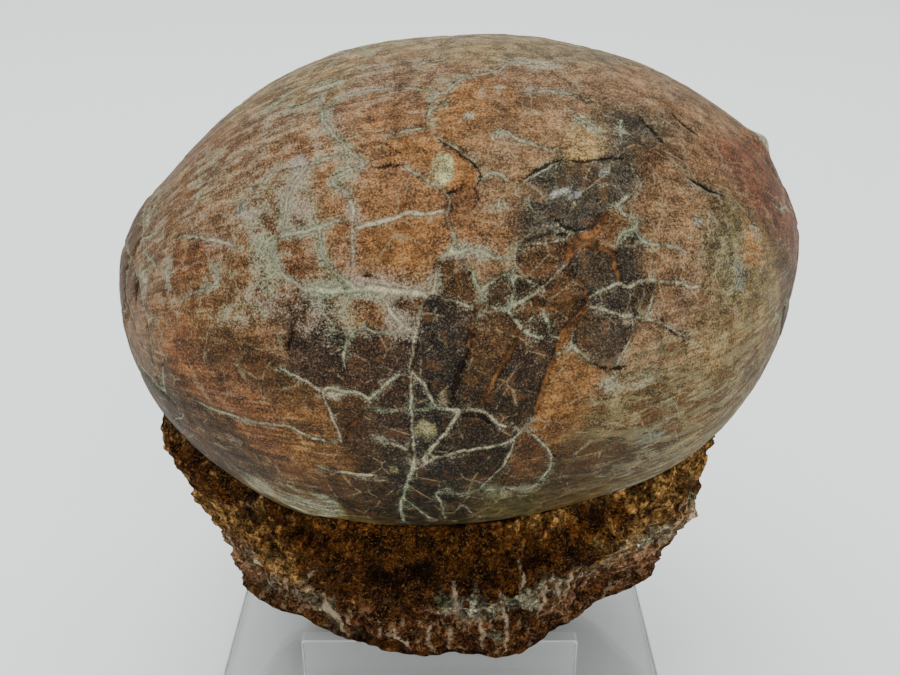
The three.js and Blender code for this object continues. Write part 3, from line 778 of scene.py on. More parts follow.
class Finish:
    """A node material under construction: each method adds one node and returns its output."""

    def __init__(self, name):
        self.material = bpy.data.materials.new(name)
        self.material.use_nodes = True
        self.tree = self.material.node_tree
        self.shader = self.tree.nodes["Principled BSDF"]
        coordinates = self.tree.nodes.new("ShaderNodeTexCoord")
        self.place = coordinates.outputs["Object"]

    def set(self, **values):
        """Sets or links the main shader's sockets, with spaces in their names as underscores."""
        for name, value in values.items():
            self.feed(self.shader.inputs[name.replace("_", " ")], value)

    def feed(self, socket, value):
        """Links another node's output to the socket, or sets the socket to a value."""
        if isinstance(value, bpy.types.NodeSocket):
            self.tree.links.new(value, socket)
        elif hasattr(value, "__len__") and len(value) == 3 and socket.type == "RGBA":
            socket.default_value = (*value, 1.0)
        else:
            socket.default_value = value

    def math(self, operation, *values):
        """One arithmetic step on numbers or on other nodes' outputs."""
        node = self.tree.nodes.new("ShaderNodeMath")
        node.operation = operation
        for socket, value in zip(node.inputs, values):
            self.feed(socket, value)
        return node.outputs[0]

    def product(self, first, second):
        """first times second."""
        return self.math("MULTIPLY", first, second)

    def plus(self, first, second):
        """first and second added."""
        return self.math("ADD", first, second)

    def minus(self, first, second):
        """first less second."""
        return self.math("SUBTRACT", first, second)

    def swing(self, value, reach):
        """How far a value of 0 to 1 is from its middle, times reach."""
        return self.product(self.minus(value, 0.5), reach)

    def length(self, vector):
        """Length of a vector."""
        node = self.tree.nodes.new("ShaderNodeVectorMath")
        node.operation = "LENGTH"
        self.feed(node.inputs[0], vector)
        return node.outputs["Value"]

    def stored(self, name, output="Fac"):
        """A value stored on the mesh's points."""
        node = self.tree.nodes.new("ShaderNodeAttribute")
        node.attribute_name = name
        return node.outputs[output]

    def stretch(self, scale, turn=(0, 0, 0), place=None):
        """Coordinates along axes turned by radians, divided by a length for each axis."""
        node = self.tree.nodes.new("ShaderNodeMapping")
        node.vector_type = "TEXTURE"
        node.inputs["Rotation"].default_value = turn
        node.inputs["Scale"].default_value = scale
        self.feed(node.inputs["Vector"], place or self.place)
        return node.outputs[0]

    def noise(self, size, detail=3, roughness=0.55, place=None, warp=0.0):
        """Noise of 0 to 1 with lumps of about size mm."""
        node = self.tree.nodes.new("ShaderNodeTexNoise")
        self.feed(node.inputs["Vector"], place or self.place)
        node.inputs["Scale"].default_value = 1 / (size * MM)
        node.inputs["Detail"].default_value = detail
        node.inputs["Roughness"].default_value = roughness
        node.inputs["Distortion"].default_value = warp
        return node.outputs["Fac"]

    def warp(self, size, reach):
        """Object coordinates pushed about by up to half of reach mm, in lumps of size mm."""
        noise = self.tree.nodes.new("ShaderNodeTexNoise")
        self.feed(noise.inputs["Vector"], self.place)
        noise.inputs["Scale"].default_value = 1 / (size * MM)
        node = self.tree.nodes.new("ShaderNodeVectorMath")
        node.operation = "MULTIPLY_ADD"
        self.feed(node.inputs[0], noise.outputs["Color"])
        node.inputs[1].default_value = (reach * MM,) * 3
        self.feed(node.inputs[2], self.place)
        return node.outputs[0]

    def cells(self, size, feature="F1", output="Distance", place=None):
        """Distances in cells of about size mm."""
        node = self.tree.nodes.new("ShaderNodeTexVoronoi")
        node.feature = feature
        self.feed(node.inputs["Vector"], place or self.place)
        node.inputs["Scale"].default_value = 1 / (size * MM)
        return node.outputs[output]

    def ramp(self, value, low, high, out_low=0.0, out_high=1.0):
        """A smooth rise from out_low to out_high as the value goes from low to high."""
        node = self.tree.nodes.new("ShaderNodeMapRange")
        node.interpolation_type = "SMOOTHSTEP"
        for name, number in (("Value", value), ("From Min", low), ("From Max", high),
                             ("To Min", out_low), ("To Max", out_high)):
            self.feed(node.inputs[name], number)
        return node.outputs["Result"]

    def blend(self, amount, first, second):
        """first and second colours mixed by amount."""
        node = self.tree.nodes.new("ShaderNodeMix")
        node.data_type = "RGBA"
        self.feed(node.inputs[0], amount)
        for socket, value in ((node.inputs[6], first), (node.inputs[7], second)):
            self.feed(socket, value)
        return node.outputs[2]

    def times(self, colour, factor):
        """A colour made brighter or darker by a factor."""
        node = self.tree.nodes.new("ShaderNodeVectorMath")
        node.operation = "SCALE"
        self.feed(node.inputs[0], colour)
        self.feed(node.inputs["Scale"], factor)
        return node.outputs[0]

    def relief(self, height, depth):
        """The surface normal for a height of 0 to 1 that stands for depth mm."""
        node = self.tree.nodes.new("ShaderNodeBump")
        node.inputs["Strength"].default_value = 1.0
        node.inputs["Distance"].default_value = depth * MM
        self.feed(node.inputs["Height"], height)
        return node.outputs[0]


def line_gap(finish, kind, wobble, share=0.3):
    """Distance in mm from the edge of the nearest line of that kind, negative on it. The length of
    the interpolated vector to the line is exact close by, and the stored distance keeps it from
    vanishing half way between two lines."""
    near = finish.length(finish.stored(kind + "_toward", "Vector"))
    far = finish.minus(finish.stored(kind + "_gap"), 0.3)
    gap = finish.math("MAXIMUM", near, far)
    half = finish.product(finish.stored(kind + "_width"), share)
    return finish.plus(finish.minus(gap, half), wobble)


def shell_finish():
    """The cleaned shell: rusty and slate plates with a fine salt-and-pepper grain, a pale film that
    is worn through in places, chalky veins, rusty clay in some cracks and shadow in the open ones."""
    shell = Finish("fossil_shell")
    turned = shell.stretch((1, 1, 1), (0.7, 1.1, 0.4))
    broad = shell.noise(11, 4, 0.6)
    mottle = shell.noise(2.8, 6, 0.7)
    grain = shell.noise(0.38, 3, 0.8)
    salt = shell.noise(0.34, 3, 0.8, turned)
    other = shell.noise(3.5, 5, 0.65, turned)
    flow = shell.stored("flow", "Vector")
    streaks = shell.noise(1.5, 5, 0.7, shell.stretch((6, 1, 1), place=flow), 0.5)
    bands = shell.noise(2.6, 5, 0.68, shell.stretch((3, 1, 1), (0, 0, 0.5), flow), 0.8)
    streaky = shell.stored("streaky")
    jitter = shell.swing(grain, 1.7)
    drift = shell.swing(other, 1.5)
    wobble = shell.plus(jitter, drift)

    rust_gap = line_gap(shell, "rusty", wobble, 0.3)
    pale_gap = line_gap(shell, "pale", wobble, shell.ramp(other, 0.4, 0.6, 0.06, 0.38))
    dark_gap = line_gap(shell, "dark", shell.product(wobble, 0.6), 0.22)
    beside = shell.math("MINIMUM", shell.math("MINIMUM", rust_gap, pale_gap), dark_gap)

    plate = shell.stored("plate_colour", "Vector")
    tone = shell.ramp(mottle, 0.38, 0.62, 0.5, 1.5)
    tone = shell.product(tone, shell.ramp(grain, 0.38, 0.61, 0.38, 1.5))
    tone = shell.product(tone, shell.ramp(streaks, 0.38, 0.62, 0.7, 1.3))
    depth = shell.product(streaky, 0.4)
    thin = shell.ramp(streaks, 0.44, 0.56, shell.minus(1.0, depth), shell.plus(1.0, depth))
    tone = shell.product(tone, thin)
    colour = shell.times(plate, tone)
    colour = shell.blend(shell.ramp(grain, 0.53, 0.64, 0, 0.45), colour, shell.times(plate, 2.4))
    colour = shell.blend(shell.ramp(grain, 0.55, 0.66, 0, 0.3), colour, paint(140, 117, 82))
    webbed = shell.stored("webbed")
    webbed = shell.product(webbed, shell.ramp(other, 0.42, 0.56, 0.1, 1.0))
    bent = shell.warp(4.5, 6.5)
    seam = shell.cells(9.5, "DISTANCE_TO_EDGE", place=bent)
    shift = shell.ramp(shell.cells(9.5, "F1", "Color", bent), 0.3, 0.7, -0.26, 0.16)
    colour = shell.times(colour, shell.plus(shell.product(shift, webbed), 1.0))
    band = shell.product(shell.ramp(bands, 0.5, 0.58, 0, 0.6), shell.stored("banded"))
    colour = shell.blend(band, colour, paint(118, 108, 78))
    band = shell.product(shell.ramp(bands, 0.5, 0.42, 0, 0.6), streaky)
    colour = shell.blend(band, colour, paint(86, 52, 20))
    colour = shell.blend(shell.ramp(other, 0.53, 0.64, 0, 0.35), colour, paint(104, 66, 32))
    fleck = shell.blend(0.45, shell.times(plate, 3.2), paint(132, 118, 92))
    colour = shell.blend(shell.ramp(salt, 0.56, 0.63, 0, 0.55), colour, fleck)
    # Painted shade: the plates are darker along the edges of every vein and crack.
    colour = shell.times(colour, shell.ramp(beside, 0.0, 0.5, 0.75, 1.0))

    streak = shell.product(shell.minus(streaks, 0.5), shell.plus(shell.product(streaky, 2.0), 0.6))
    film = shell.plus(shell.stored("film"), streak)
    film = shell.plus(film, shell.swing(mottle, 2.2))
    film = shell.plus(film, shell.swing(salt, 2.5))
    film = shell.plus(film, shell.ramp(pale_gap, 0.0, 1.6, 0.42, 0))
    film = shell.plus(film, shell.product(shell.ramp(seam, 0.0, 0.12, 0.2, 0), webbed))
    film_colour = shell.blend(shell.ramp(broad, 0.42, 0.58), paint(138, 127, 110), paint(130, 134, 109))
    film_colour = shell.times(film_colour, shell.ramp(grain, 0.36, 0.6, 0.4, 1.25))
    colour = shell.blend(shell.ramp(film, 0.38, 1.0, 0, 0.85), colour, film_colour)

    # The painted shade low on the shell darkens the colour here.
    colour = shell.times(colour, shell.stored("shade"))
    web = shell.product(shell.ramp(seam, 0.004, 0.035, 0.42, 0), webbed)
    web = shell.product(web, shell.ramp(salt, 0.4, 0.54, 0.35, 1.0))
    colour = shell.blend(web, colour, paint(142, 130, 100))

    hair = shell.cells(6.5, "DISTANCE_TO_EDGE")
    hair = shell.product(shell.ramp(hair, 0.0, 0.04, 1, 0), shell.ramp(other, 0.46, 0.58, 0, 0.5))
    hair = shell.product(hair, shell.ramp(salt, 0.42, 0.52))
    colour = shell.blend(hair, colour, paint(142, 132, 104))

    rusty = shell.product(shell.ramp(rust_gap, -0.2, 0.24, 0.95, 0),
                          shell.ramp(mottle, 0.34, 0.46, 0.55, 1.0))
    clay = shell.blend(shell.ramp(mottle, 0.42, 0.6), paint(64, 37, 15), paint(124, 80, 42))
    clay = shell.times(clay, shell.ramp(grain, 0.38, 0.62, 0.5, 1.4))
    colour = shell.blend(rusty, colour, clay)
    core = shell.product(shell.ramp(rust_gap, -0.34, -0.2, 0.9, 0), shell.ramp(other, 0.44, 0.52))
    colour = shell.blend(core, colour, paint(26, 15, 9))
    worn = shell.ramp(mottle, 0.38, 0.53, 0.3, 0.98)
    worn = shell.product(worn, shell.ramp(salt, 0.4, 0.54, 0.35, 1.0))
    pale = shell.product(shell.ramp(pale_gap, -0.14, 0.26, 1, 0), worn)
    pale_colour = shell.blend(shell.ramp(broad, 0.42, 0.6), paint(178, 168, 136), paint(160, 160, 132))
    pale_colour = shell.times(pale_colour, shell.ramp(grain, 0.38, 0.58, 0.45, 1.2))
    colour = shell.blend(pale, colour, pale_colour)
    # Painted shadow: the open cracks and plate steps are drawn near black.
    dark = shell.ramp(dark_gap, -0.1, 0.14, 0.92, 0)
    colour = shell.blend(dark, colour, paint(22, 15, 11))

    height = shell.plus(shell.product(grain, 0.5), shell.product(mottle, 0.7))
    height = shell.minus(height, shell.ramp(beside, -0.1, 0.5, 0.7, 0))
    height = shell.minus(height, shell.product(dark, 1.6))
    roughness = shell.plus(shell.ramp(grain, 0.3, 0.7, 0.44, 0.6), shell.product(pale, 0.2))
    shell.set(Base_Color=colour, Roughness=roughness, Normal=shell.relief(height, 0.22))
    shell.set(Specular_IOR_Level=0.08)
    return shell.material


egg = make_egg()
egg.data.materials.append(shell_finish())
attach(egg, "root")
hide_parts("egg")

# ---------------------------------------------------------------------------------------------
# The rock. A block of rusty, gritty mudstone that the egg was buried in, broken off all round and
# sawn flat underneath. Its top climbs to the shell and holds the egg as a seat.
# ---------------------------------------------------------------------------------------------

ROCK_TURNS = 620
ROCK_WALL_ROWS = 66
ROCK_TOP_ROWS = 64
ROCK_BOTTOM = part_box("matrix")[0][2] / MM
ROCK_FLARE = 34.0  # height over which the sides lean out
ROCK_FOOT = (2.5, 51.5, 41.5)  # middle along X, half width, half depth
ROCK_TOP = (0.3, 61.5, 42.5)
ROCK_RIM = [61, 55, 53, 57, 67, 51, 42, 51]  # rim height every 45 degrees from +X
RIM_RISE = 1.15
SEAT_GAP = 0.15
FILLET = 6.0  # the rock creeps up the shell where it is nearer than this
FLOOR_SHARES = (0.0, 0.5, 0.85, 0.97)  # rings of the underside, as shares of its reach
ROCK_INSET = 0.9  # drawn in before the lumps push the sides out
SEAT_DROP = 20.0  # the seat stays this far below the egg's middle
HOLLOW_DEPTH = 2.2
ROCK_PATH_STEP = 0.4

# Lumps of the rock's surface: size and push in mm.
CRAG_SIZE, CRAG_PUSH = 11, 1.3
KNOB_SIZE, KNOB_PUSH = 5.0, 1.9
GRIT_SIZE, GRIT_PUSH = 2.3, 1.5
FINE_SIZE, FINE_PUSH = 1.8, 0.6
RIDGE_SIZE, RIDGE_PUSH = 6.0, 1.6

# Broad lumps and hollows of the sides: degrees round +Z, height, radius and rise in mm.
ROCK_LUMPS = [
    (-36, 32, 15, -6.0),
    (-72, 41, 10, 1.5),
    (-104, 46, 9, -1.5),
    (-148, 40, 14, -1.5),
    (-8, 50, 12, 1.0),
]

ROCK_COLOURS = {
    "ochre": paint(74, 43, 14),
    "earth": paint(54, 29, 10),
    "russet": paint(66, 37, 18),
    # A tan stain, painted lighter to offset the egg's shade on the rock's top.
    "tan": paint(146, 109, 60),
    "pale": paint(134, 134, 112),
    "green": paint(98, 103, 80),
    "ink": paint(24, 28, 28),
    "blush": paint(124, 90, 66),
    # Painted shade for the hollows in the rock.
    "shaded_hollow": paint(22, 14, 7),
}

# Stains, clasts and hollows of the rock: colour, degrees round +Z, height, half width and half
# height in mm, and how fully they cover.
ROCK_MARKS = [
    ("ochre", -90, 54, 60, 8, 0.7),
    # Tan by the shell at the top, painted lighter against the shade the egg casts there.
    ("tan", -178, 54, 12, 14, 0.8),
    ("tan", -8, 58, 12, 10, 0.5),
    ("tan", -62, 57, 10, 3, 0.6),
    ("tan", -40, 60, 14, 3, 0.7),
    ("blush", -36, 44, 7, 5, 0.6),
    ("blush", -58, 40, 7, 5, 0.45),
    ("blush", -119, 31, 3.5, 2.5, 0.6),
    ("blush", -95, 35, 4, 2, 0.3),
    ("pale", -88, 41, 3.5, 2, 0.5),
    ("pale", -80, 41, 5, 2.4, 0.8),
    ("pale", -71, 42, 6, 2.2, 0.85),
    ("pale", -62, 44, 5, 2.2, 0.6),
    ("pale", -22, 40, 3, 3, 0.4),
    ("pale", -166, 41, 4, 3, 0.5),
    ("green", -92, 42.5, 2.4, 1.3, 0.8),
    ("green", -78, 34, 1.8, 1.4, 0.7),
    ("green", -14, 43, 8, 5, 0.8),
    ("green", -174, 42, 6, 4, 0.8),
    ("green", -124, 34, 2, 5, 0.7),
    ("green", 40, 44, 9, 6, 0.6),
    ("green", 118, 46, 8, 5, 0.6),
    ("pale", 75, 40, 9, 3, 0.7),
    ("blush", 150, 40, 10, 6, 0.5),
    ("ink", -79, 42.4, 1.7, 1.2, 0.9),
    ("ink", -71.5, 41.4, 1.2, 1, 0.7),
    ("ink", -51, 46.5, 3.2, 1.7, 1.0),
    ("ink", -138, 45, 3, 2, 0.9),
    ("ink", -146, 55, 2.5, 2.5, 0.8),
    ("ink", 95, 45, 3, 2, 0.9),
    ("tan", -28, 50, 7, 6, 0.35),
    ("tan", -150, 52, 12, 3, 0.4),
    ("blush", -30, 40, 10, 5, 0.7),
    ("pale", -34, 48, 9, 3, 0.6),
    ("tan", -22, 56, 12, 5, 0.6),
    ("pale", -47, 43, 5, 3, 0.6),
    ("pale", -16, 48, 4, 5, 0.5),
    ("blush", -155, 36, 9, 5, 0.7),
    ("tan", -165, 47, 9, 7, 0.5),
    ("tan", -150, 44, 14, 7, 0.5),
    ("tan", -32, 48, 14, 7, 0.5),
    ("blush", -160, 38, 10, 6, 0.6),
    ("blush", -22, 42, 10, 6, 0.7),
    ("blush", -50, 38, 8, 5, 0.6),
    ("pale", -26, 43, 6, 2.5, 0.7),
    ("pale", -145, 35, 5, 3, 0.5),
    ("pale", -42, 44, 2.5, 4, 0.5),
    ("pale", -27, 46, 3, 2, 0.5),
    ("pale", -132, 37, 4, 2, 0.4),
    ("pale", -150, 40, 3, 3, 0.4),
    # Hollows, dented in and painted near black as shade.
    ("shaded_hollow", -82, 46.5, 5, 1.8, 0.6),
    ("shaded_hollow", -62, 50, 5, 2, 0.5),
    ("shaded_hollow", -52, 50, 4, 2, 0.5),
    ("shaded_hollow", -46, 56, 6, 1.6, 0.4),
    ("shaded_hollow", -100, 47, 6, 2, 0.5),
    ("shaded_hollow", -107, 41, 3, 2, 0.5),
    ("shaded_hollow", -125, 47, 5, 1.6, 0.4),
]

# Pale veins of the rock: width in mm, then places (degrees round +Z, height).
ROCK_VEINS = [
    (0.8, [(-88.5, 46), (-87.5, 43), (-85.5, 39)]),
    (0.9, [(-81.5, 38), (-81, 34.5), (-81.5, 31)]),
    (0.8, [(-74.5, 41), (-73.5, 37), (-74.5, 33), (-75, 30.5)]),
    (0.9, [(-57, 40), (-55.5, 43.5), (-54, 47)]),
    (0.6, [(-65.5, 37), (-64, 41), (-63, 44.5)]),
    (0.8, [(-45.5, 40.5), (-44, 45), (-42.5, 50)]),
    (0.6, [(-60, 38.5), (-59, 43), (-58, 46)]),
    (0.6, [(-90.5, 30), (-90, 33), (-89.3, 36)]),
    (0.8, [(-134, 39), (-131, 42), (-128, 45)]),
    (1.3, [(-127, 38.5), (-124, 34), (-121.5, 29)]),
    (0.8, [(-105, 36), (-103, 33), (-101, 30.5)]),
    (0.7, [(-163, 45), (-161, 41), (-158, 38)]),
    (0.7, [(-149, 41), (-148, 37), (-147, 34)]),
    (0.7, [(-139, 34), (-138, 38), (-137, 41)]),
    (0.6, [(-30, 37), (-29, 42), (-27, 46)]),
    (0.6, [(-24, 43), (-22, 47), (-20, 51)]),
    (0.5, [(-70, 43), (-69, 47), (-68, 50)]),
    (0.5, [(-110, 31), (-109, 34), (-108, 38)]),
    (0.5, [(-95, 29), (-96, 33), (-95, 37)]),
    (0.7, [(22, 33), (24, 39), (27, 46)]),
    (0.9, [(48, 30), (50, 37), (49, 45)]),
    (0.6, [(66, 34), (69, 40), (70, 50)]),
    (0.8, [(88, 31), (87, 38), (90, 44)]),
    (0.7, [(108, 36), (112, 42), (111, 49)]),
    (0.9, [(133, 30), (135, 38), (139, 46)]),
    (0.6, [(158, 33), (160, 41), (158, 50)]),
]


def grain_noise(points, size, seed):
    """Distance to the nearest of one random point in each cube of a lattice, as a share of its size."""
    draw = np.random.default_rng(seed)
    table = draw.permutation(256)
    offsets = draw.random((256, 3))
    place = points / size
    cell = np.floor(place).astype(int)
    best = np.full(points.shape[:-1], 9.0)
    for step in np.ndindex(3, 3, 3):
        node = cell + step - 1
        pick = table[(table[(table[node[..., 0] & 255] + node[..., 1]) & 255] + node[..., 2]) & 255]
        best = np.minimum(best, np.linalg.norm(place - node - offsets[pick], axis=-1))
    return best


def rock_sides(angle, level):
    """Middle, reach and rim of the even outline at an angle and a share of the height to the rim."""
    count = len(ROCK_RIM)
    place = (angle / (2 * np.pi) % 1) * count
    first = np.floor(place).astype(int) % count
    ease = (1 - np.cos(np.pi * (place % 1))) / 2
    rims = np.array(ROCK_RIM, float)
    rim = rims[first] * (1 - ease) + rims[(first + 1) % count] * ease
    height = ROCK_BOTTOM + level * (rim - ROCK_BOTTOM)
    spread = np.clip((height - ROCK_BOTTOM) / ROCK_FLARE, 0, 1)
    middle, wide, deep = (low + (high - low) * spread for low, high in zip(ROCK_FOOT, ROCK_TOP))
    reach = 1 / np.hypot(np.cos(angle) / wide, np.sin(angle) / deep)
    rise = (0.7 * np.sin(5 * angle + 0.06 * height + 1.3) + 0.6 * np.sin(9 * angle - 0.14 * height - 2.1)
            + 0.5 * np.sin(14 * angle + 0.25 * height))
    for degrees, low, size, swell in ROCK_LUMPS:
        turn = np.angle(np.exp(1j * (angle - np.radians(degrees))))
        rise += swell * np.exp(-((reach * turn) ** 2 + (height - low) ** 2) / size ** 2)
    return middle, reach, reach + rise, rim, height


def under_egg(x, y):
    """Height of the egg's underside over a place, and none where the place is outside the egg."""
    dx = x - EGG_CENTRE[0]
    cos, sin = np.cos(EGG_TILT), np.sin(EGG_TILT)
    a, b, _ = EGG_AXES
    square = (sin / a) ** 2 + (cos / b) ** 2
    half = dx * sin * cos * (1 / a ** 2 - 1 / b ** 2)
    rest = (dx * cos / a) ** 2 + (dx * sin / b) ** 2 + (y / b) ** 2 - 1
    root = half ** 2 - square * rest
    low = (-half - np.sqrt(np.clip(root, 0, None))) / square
    return np.where(root > 0, EGG_CENTRE[2] + low, np.inf)


def rock_place(degrees, height):
    """The point of the even outline at an angle and a height, on the side up to the rim and on the
    climbing top past it."""
    angle = np.radians(degrees)
    rim = rock_sides(angle, np.ones_like(angle))[3]
    level = np.clip((height - ROCK_BOTTOM) / (rim - ROCK_BOTTOM), 0, 1)
    middle, reach, edge, rim, side = rock_sides(angle, level)
    share = 1 - np.clip(height - rim, 0, None) / (RIM_RISE * reach)
    return np.stack([middle + share * edge * np.cos(angle), share * edge * np.sin(angle), height], axis=-1)


def mark_bell(degrees, reach, height, where, low, wide, tall):
    """1 in the middle of an oval on the rock's side, falling to 0 as a bell."""
    turn = np.radians((degrees - where + 180) % 360 - 180)
    return np.exp(-(reach * turn / wide) ** 2 - ((height - low) / tall) ** 2)


def make_rock():
    """The block: rings from the middle of the flat underside, out, up the sides and over the rim to
    the middle of the seat. Sides and top are pushed about by noise, and the top stays under the egg."""
    angle = np.linspace(0, 2 * np.pi, ROCK_TURNS, endpoint=False)
    floor_share = np.array(FLOOR_SHARES)
    wall_level = np.linspace(0, 1, ROCK_WALL_ROWS)
    top_share = 1 - np.linspace(0, 1, ROCK_TOP_ROWS + 1)[1:] ** 1.7
    share = np.concatenate([floor_share, np.ones(ROCK_WALL_ROWS), top_share])[:, None]
    level = np.concatenate([np.zeros(len(FLOOR_SHARES)), wall_level, np.ones(ROCK_TOP_ROWS)])[:, None]
    ring = np.arange(len(share))[:, None]
    on_floor = ring < len(FLOOR_SHARES)
    on_top = ring >= len(FLOOR_SHARES) + ROCK_WALL_ROWS
    turn = np.broadcast_to(angle[None, :], (len(share), ROCK_TURNS))
    middle, reach, edge, rim, height = rock_sides(turn, np.broadcast_to(level, turn.shape))
    climb = np.where(on_top, (1 - share) * reach * RIM_RISE, 0)
    radius = share * edge
    spot = np.stack([middle + radius * np.cos(turn), radius * np.sin(turn), height + climb], axis=-1)

    crag = rough_noise(spot, CRAG_SIZE, 200, 3)
    knobs = 0.55 - grain_noise(spot + 1.1 * crag[..., None], KNOB_SIZE, 210)
    grit = 0.5 - grain_noise(spot + 0.5 * crag[..., None], GRIT_SIZE, 220)
    fine = rough_noise(spot, FINE_SIZE, 230, 3)
    ridges = 0.45 - np.abs(rough_noise(spot, RIDGE_SIZE, 240, 4))
    push = (CRAG_PUSH * crag + KNOB_PUSH * knobs + GRIT_PUSH * grit + FINE_PUSH * fine
            + RIDGE_PUSH * ridges)
    degrees = np.degrees((turn + np.pi) % (2 * np.pi) - np.pi)
    for kind, where, low, wide, tall, cover in ROCK_MARKS:
        if kind == "shaded_hollow":
            bell = mark_bell(degrees, reach, spot[..., 2], where, low, wide, tall)
            push = push - HOLLOW_DEPTH * cover * bell
    calm = smooth_step(0, 1.2, height - ROCK_BOTTOM + climb)
    outward = np.where(on_floor, 0, push * (0.35 + 0.65 * calm)) * np.where(on_top, share ** 3, 1)
    radius = np.clip(radius + outward - ROCK_INSET, 0, None)
    lift = np.where(on_top, 0.7 * push, 0.25 * push * calm) * np.where(on_floor, 0, 1)
    x = middle + radius * np.cos(turn)
    y = radius * np.sin(turn)
    z = height + climb + lift
    z = np.where(on_floor | (level == 0), ROCK_BOTTOM, np.maximum(z, ROCK_BOTTOM))
    ceiling = under_egg(x, y) - SEAT_GAP
    gap = np.where(np.isfinite(ceiling), ceiling, z + 99) - z
    hug = np.clip(gap, 0, None) * smooth_step(0, FILLET, gap)
    z = np.where(on_top, z + gap - hug, z)
    z = np.minimum(z, EGG_CENTRE[2] - SEAT_DROP)

    low_band = smooth_step(45, 38, spot[..., 2] + 2.5 * crag)[..., None]
    ground = ROCK_COLOURS["earth"] * (1 - low_band) + ROCK_COLOURS["russet"] * low_band
    ragged = 0.6 * rough_noise(spot, 2.6, 250, 5)
    for kind, where, low, wide, tall, cover in ROCK_MARKS:
        bell = mark_bell(degrees, reach, spot[..., 2], where, low, wide, tall)
        amount = (cover * smooth_step(0.34, 0.5, bell + ragged * (bell > 0.02)))[..., None]
        ground = ground * (1 - amount) + ROCK_COLOURS[kind] * amount

    rings = len(share)
    points = np.stack([x, y, z], axis=-1)
    body = points[1:-1].reshape(-1, 3)
    points = np.concatenate([body, [points[0].mean(axis=0)], [points[-1].mean(axis=0)]])
    number = np.arange((rings - 2) * ROCK_TURNS).reshape(rings - 2, ROCK_TURNS)
    after = np.roll(number, -1, axis=1)
    walls = np.stack([number[:-1], after[:-1], after[1:], number[1:]], axis=-1).reshape(-1, 4)
    low = np.full(ROCK_TURNS, len(body))
    high = low + 1
    under = np.stack([low, low, after[0], number[0]], axis=-1)
    over = np.stack([number[-1], after[-1], high, high], axis=-1)
    piece = make_piece("rock_matrix", points, np.concatenate([under, walls, over]))

    def stored_rows(values):
        rows = values[1:-1].reshape(-1, *values.shape[2:])
        return np.concatenate([rows, values[:1, 0], values[-1:, 0]])

    still = stored_rows(spot)
    veins = Lines(len(still))
    for width, places in ROCK_VEINS:
        path = curve_through(places, ROCK_PATH_STEP)
        path = rock_place(path[:, 0], path[:, 1])
        shake = np.stack([soft_noise(path, 1.8, 260 + axis) for axis in range(3)], axis=-1)
        veins.add(still, path + 0.5 * shake, width)
    set_values(piece, "vein_toward", veins.toward)
    set_values(piece, "vein_gap", veins.gap)
    set_values(piece, "vein_width", veins.width)
    # Painted shade: near black where the surface is pushed in.
    set_values(piece, "shaded_hollow", stored_rows(smooth_step(0.5, -2.0, push)))
    set_values(piece, "ground", stored_rows(ground))
    set_values(piece, "low_band", stored_rows(low_band[..., 0]))
    return piece


def rock_finish():
    """Broken mudstone: ochre and rusty brown grit, with painted shade near black in the hollows,
    grey-green stains, dark clasts and pale veins that run nearly upright."""
    rock = Finish("rock_matrix")
    turned = rock.stretch((1, 1, 1), (0.5, 0.9, 0.3))
    patch = rock.noise(3.4, 6, 0.75)
    other = rock.noise(4.5, 6, 0.72, turned)
    grit = rock.noise(0.8, 5, 0.8)
    salt = rock.noise(0.5, 4, 0.8, turned)
    crumb = rock.cells(1.5, "F1", "Color", rock.warp(1.2, 1.4))
    chip = rock.cells(0.75, "F1", "Color", rock.warp(0.6, 0.7))
    tone = rock.ramp(patch, 0.42, 0.58, 0.55, 1.5)
    tone = rock.product(tone, rock.ramp(crumb, 0.3, 0.7, 0.5, 1.5))
    tone = rock.product(tone, rock.ramp(chip, 0.3, 0.7, 0.55, 1.5))
    tone = rock.product(tone, rock.ramp(grit, 0.4, 0.6, 0.4, 1.5))
    colour = rock.times(rock.stored("ground", "Vector"), tone)
    colour = rock.blend(rock.ramp(other, 0.54, 0.6, 0, 0.5), colour, paint(98, 58, 18))
    colour = rock.blend(rock.ramp(other, 0.45, 0.39, 0, 0.55), colour, paint(40, 20, 6))
    colour = rock.blend(rock.ramp(salt, 0.56, 0.62, 0, 0.55), colour, paint(166, 122, 66))
    colour = rock.blend(rock.ramp(salt, 0.46, 0.39, 0, 0.85), colour, paint(16, 10, 5))
    fresh = rock.product(rock.ramp(rock.noise(2.4, 5, 0.75, turned), 0.55, 0.6, 0, 0.65),
                         rock.stored("low_band"))
    colour = rock.blend(fresh, colour, paint(148, 122, 94))
    jitter = rock.swing(grit, 3.0)
    vein = rock.ramp(line_gap(rock, "vein", jitter, 0.5), -0.2, 0.3, 1, 0)
    vein = rock.product(vein, rock.ramp(patch, 0.38, 0.52, 0.35, 0.9))
    colour = rock.blend(vein, colour, rock.blend(salt, paint(136, 106, 80), paint(206, 188, 158)))
    # Painted shade in the pushed-in places.
    colour = rock.blend(rock.product(rock.stored("shaded_hollow"), 0.8), colour, paint(14, 9, 6))
    height = rock.plus(rock.product(grit, 0.5), rock.product(patch, 0.7))
    height = rock.plus(height, rock.product(crumb, 0.35))
    rock.set(Base_Color=colour, Roughness=rock.ramp(grit, 0.3, 0.7, 0.7, 0.95))
    rock.set(Normal=rock.relief(height, 2.0), Specular_IOR_Level=0.04)
    return rock.material


rock = make_rock()
rock.data.materials.append(rock_finish())
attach(rock, "root")
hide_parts("matrix")

# ---------------------------------------------------------------------------------------------
# The stand. Three pieces of 3 mm clear acrylic with polished faces and sawn edges: a base plate
# and two upright rails cemented on it with solvent.
# ---------------------------------------------------------------------------------------------

CORNER = 0.8  # radius of the sheet's corners
CHAMFER = 0.25  # broken edge all round
CORNER_STEPS = 6
ACRYLIC_IOR = 1.49
FACE_CLEARNESS = 0.95
EDGE_CLEARNESS = 0.75


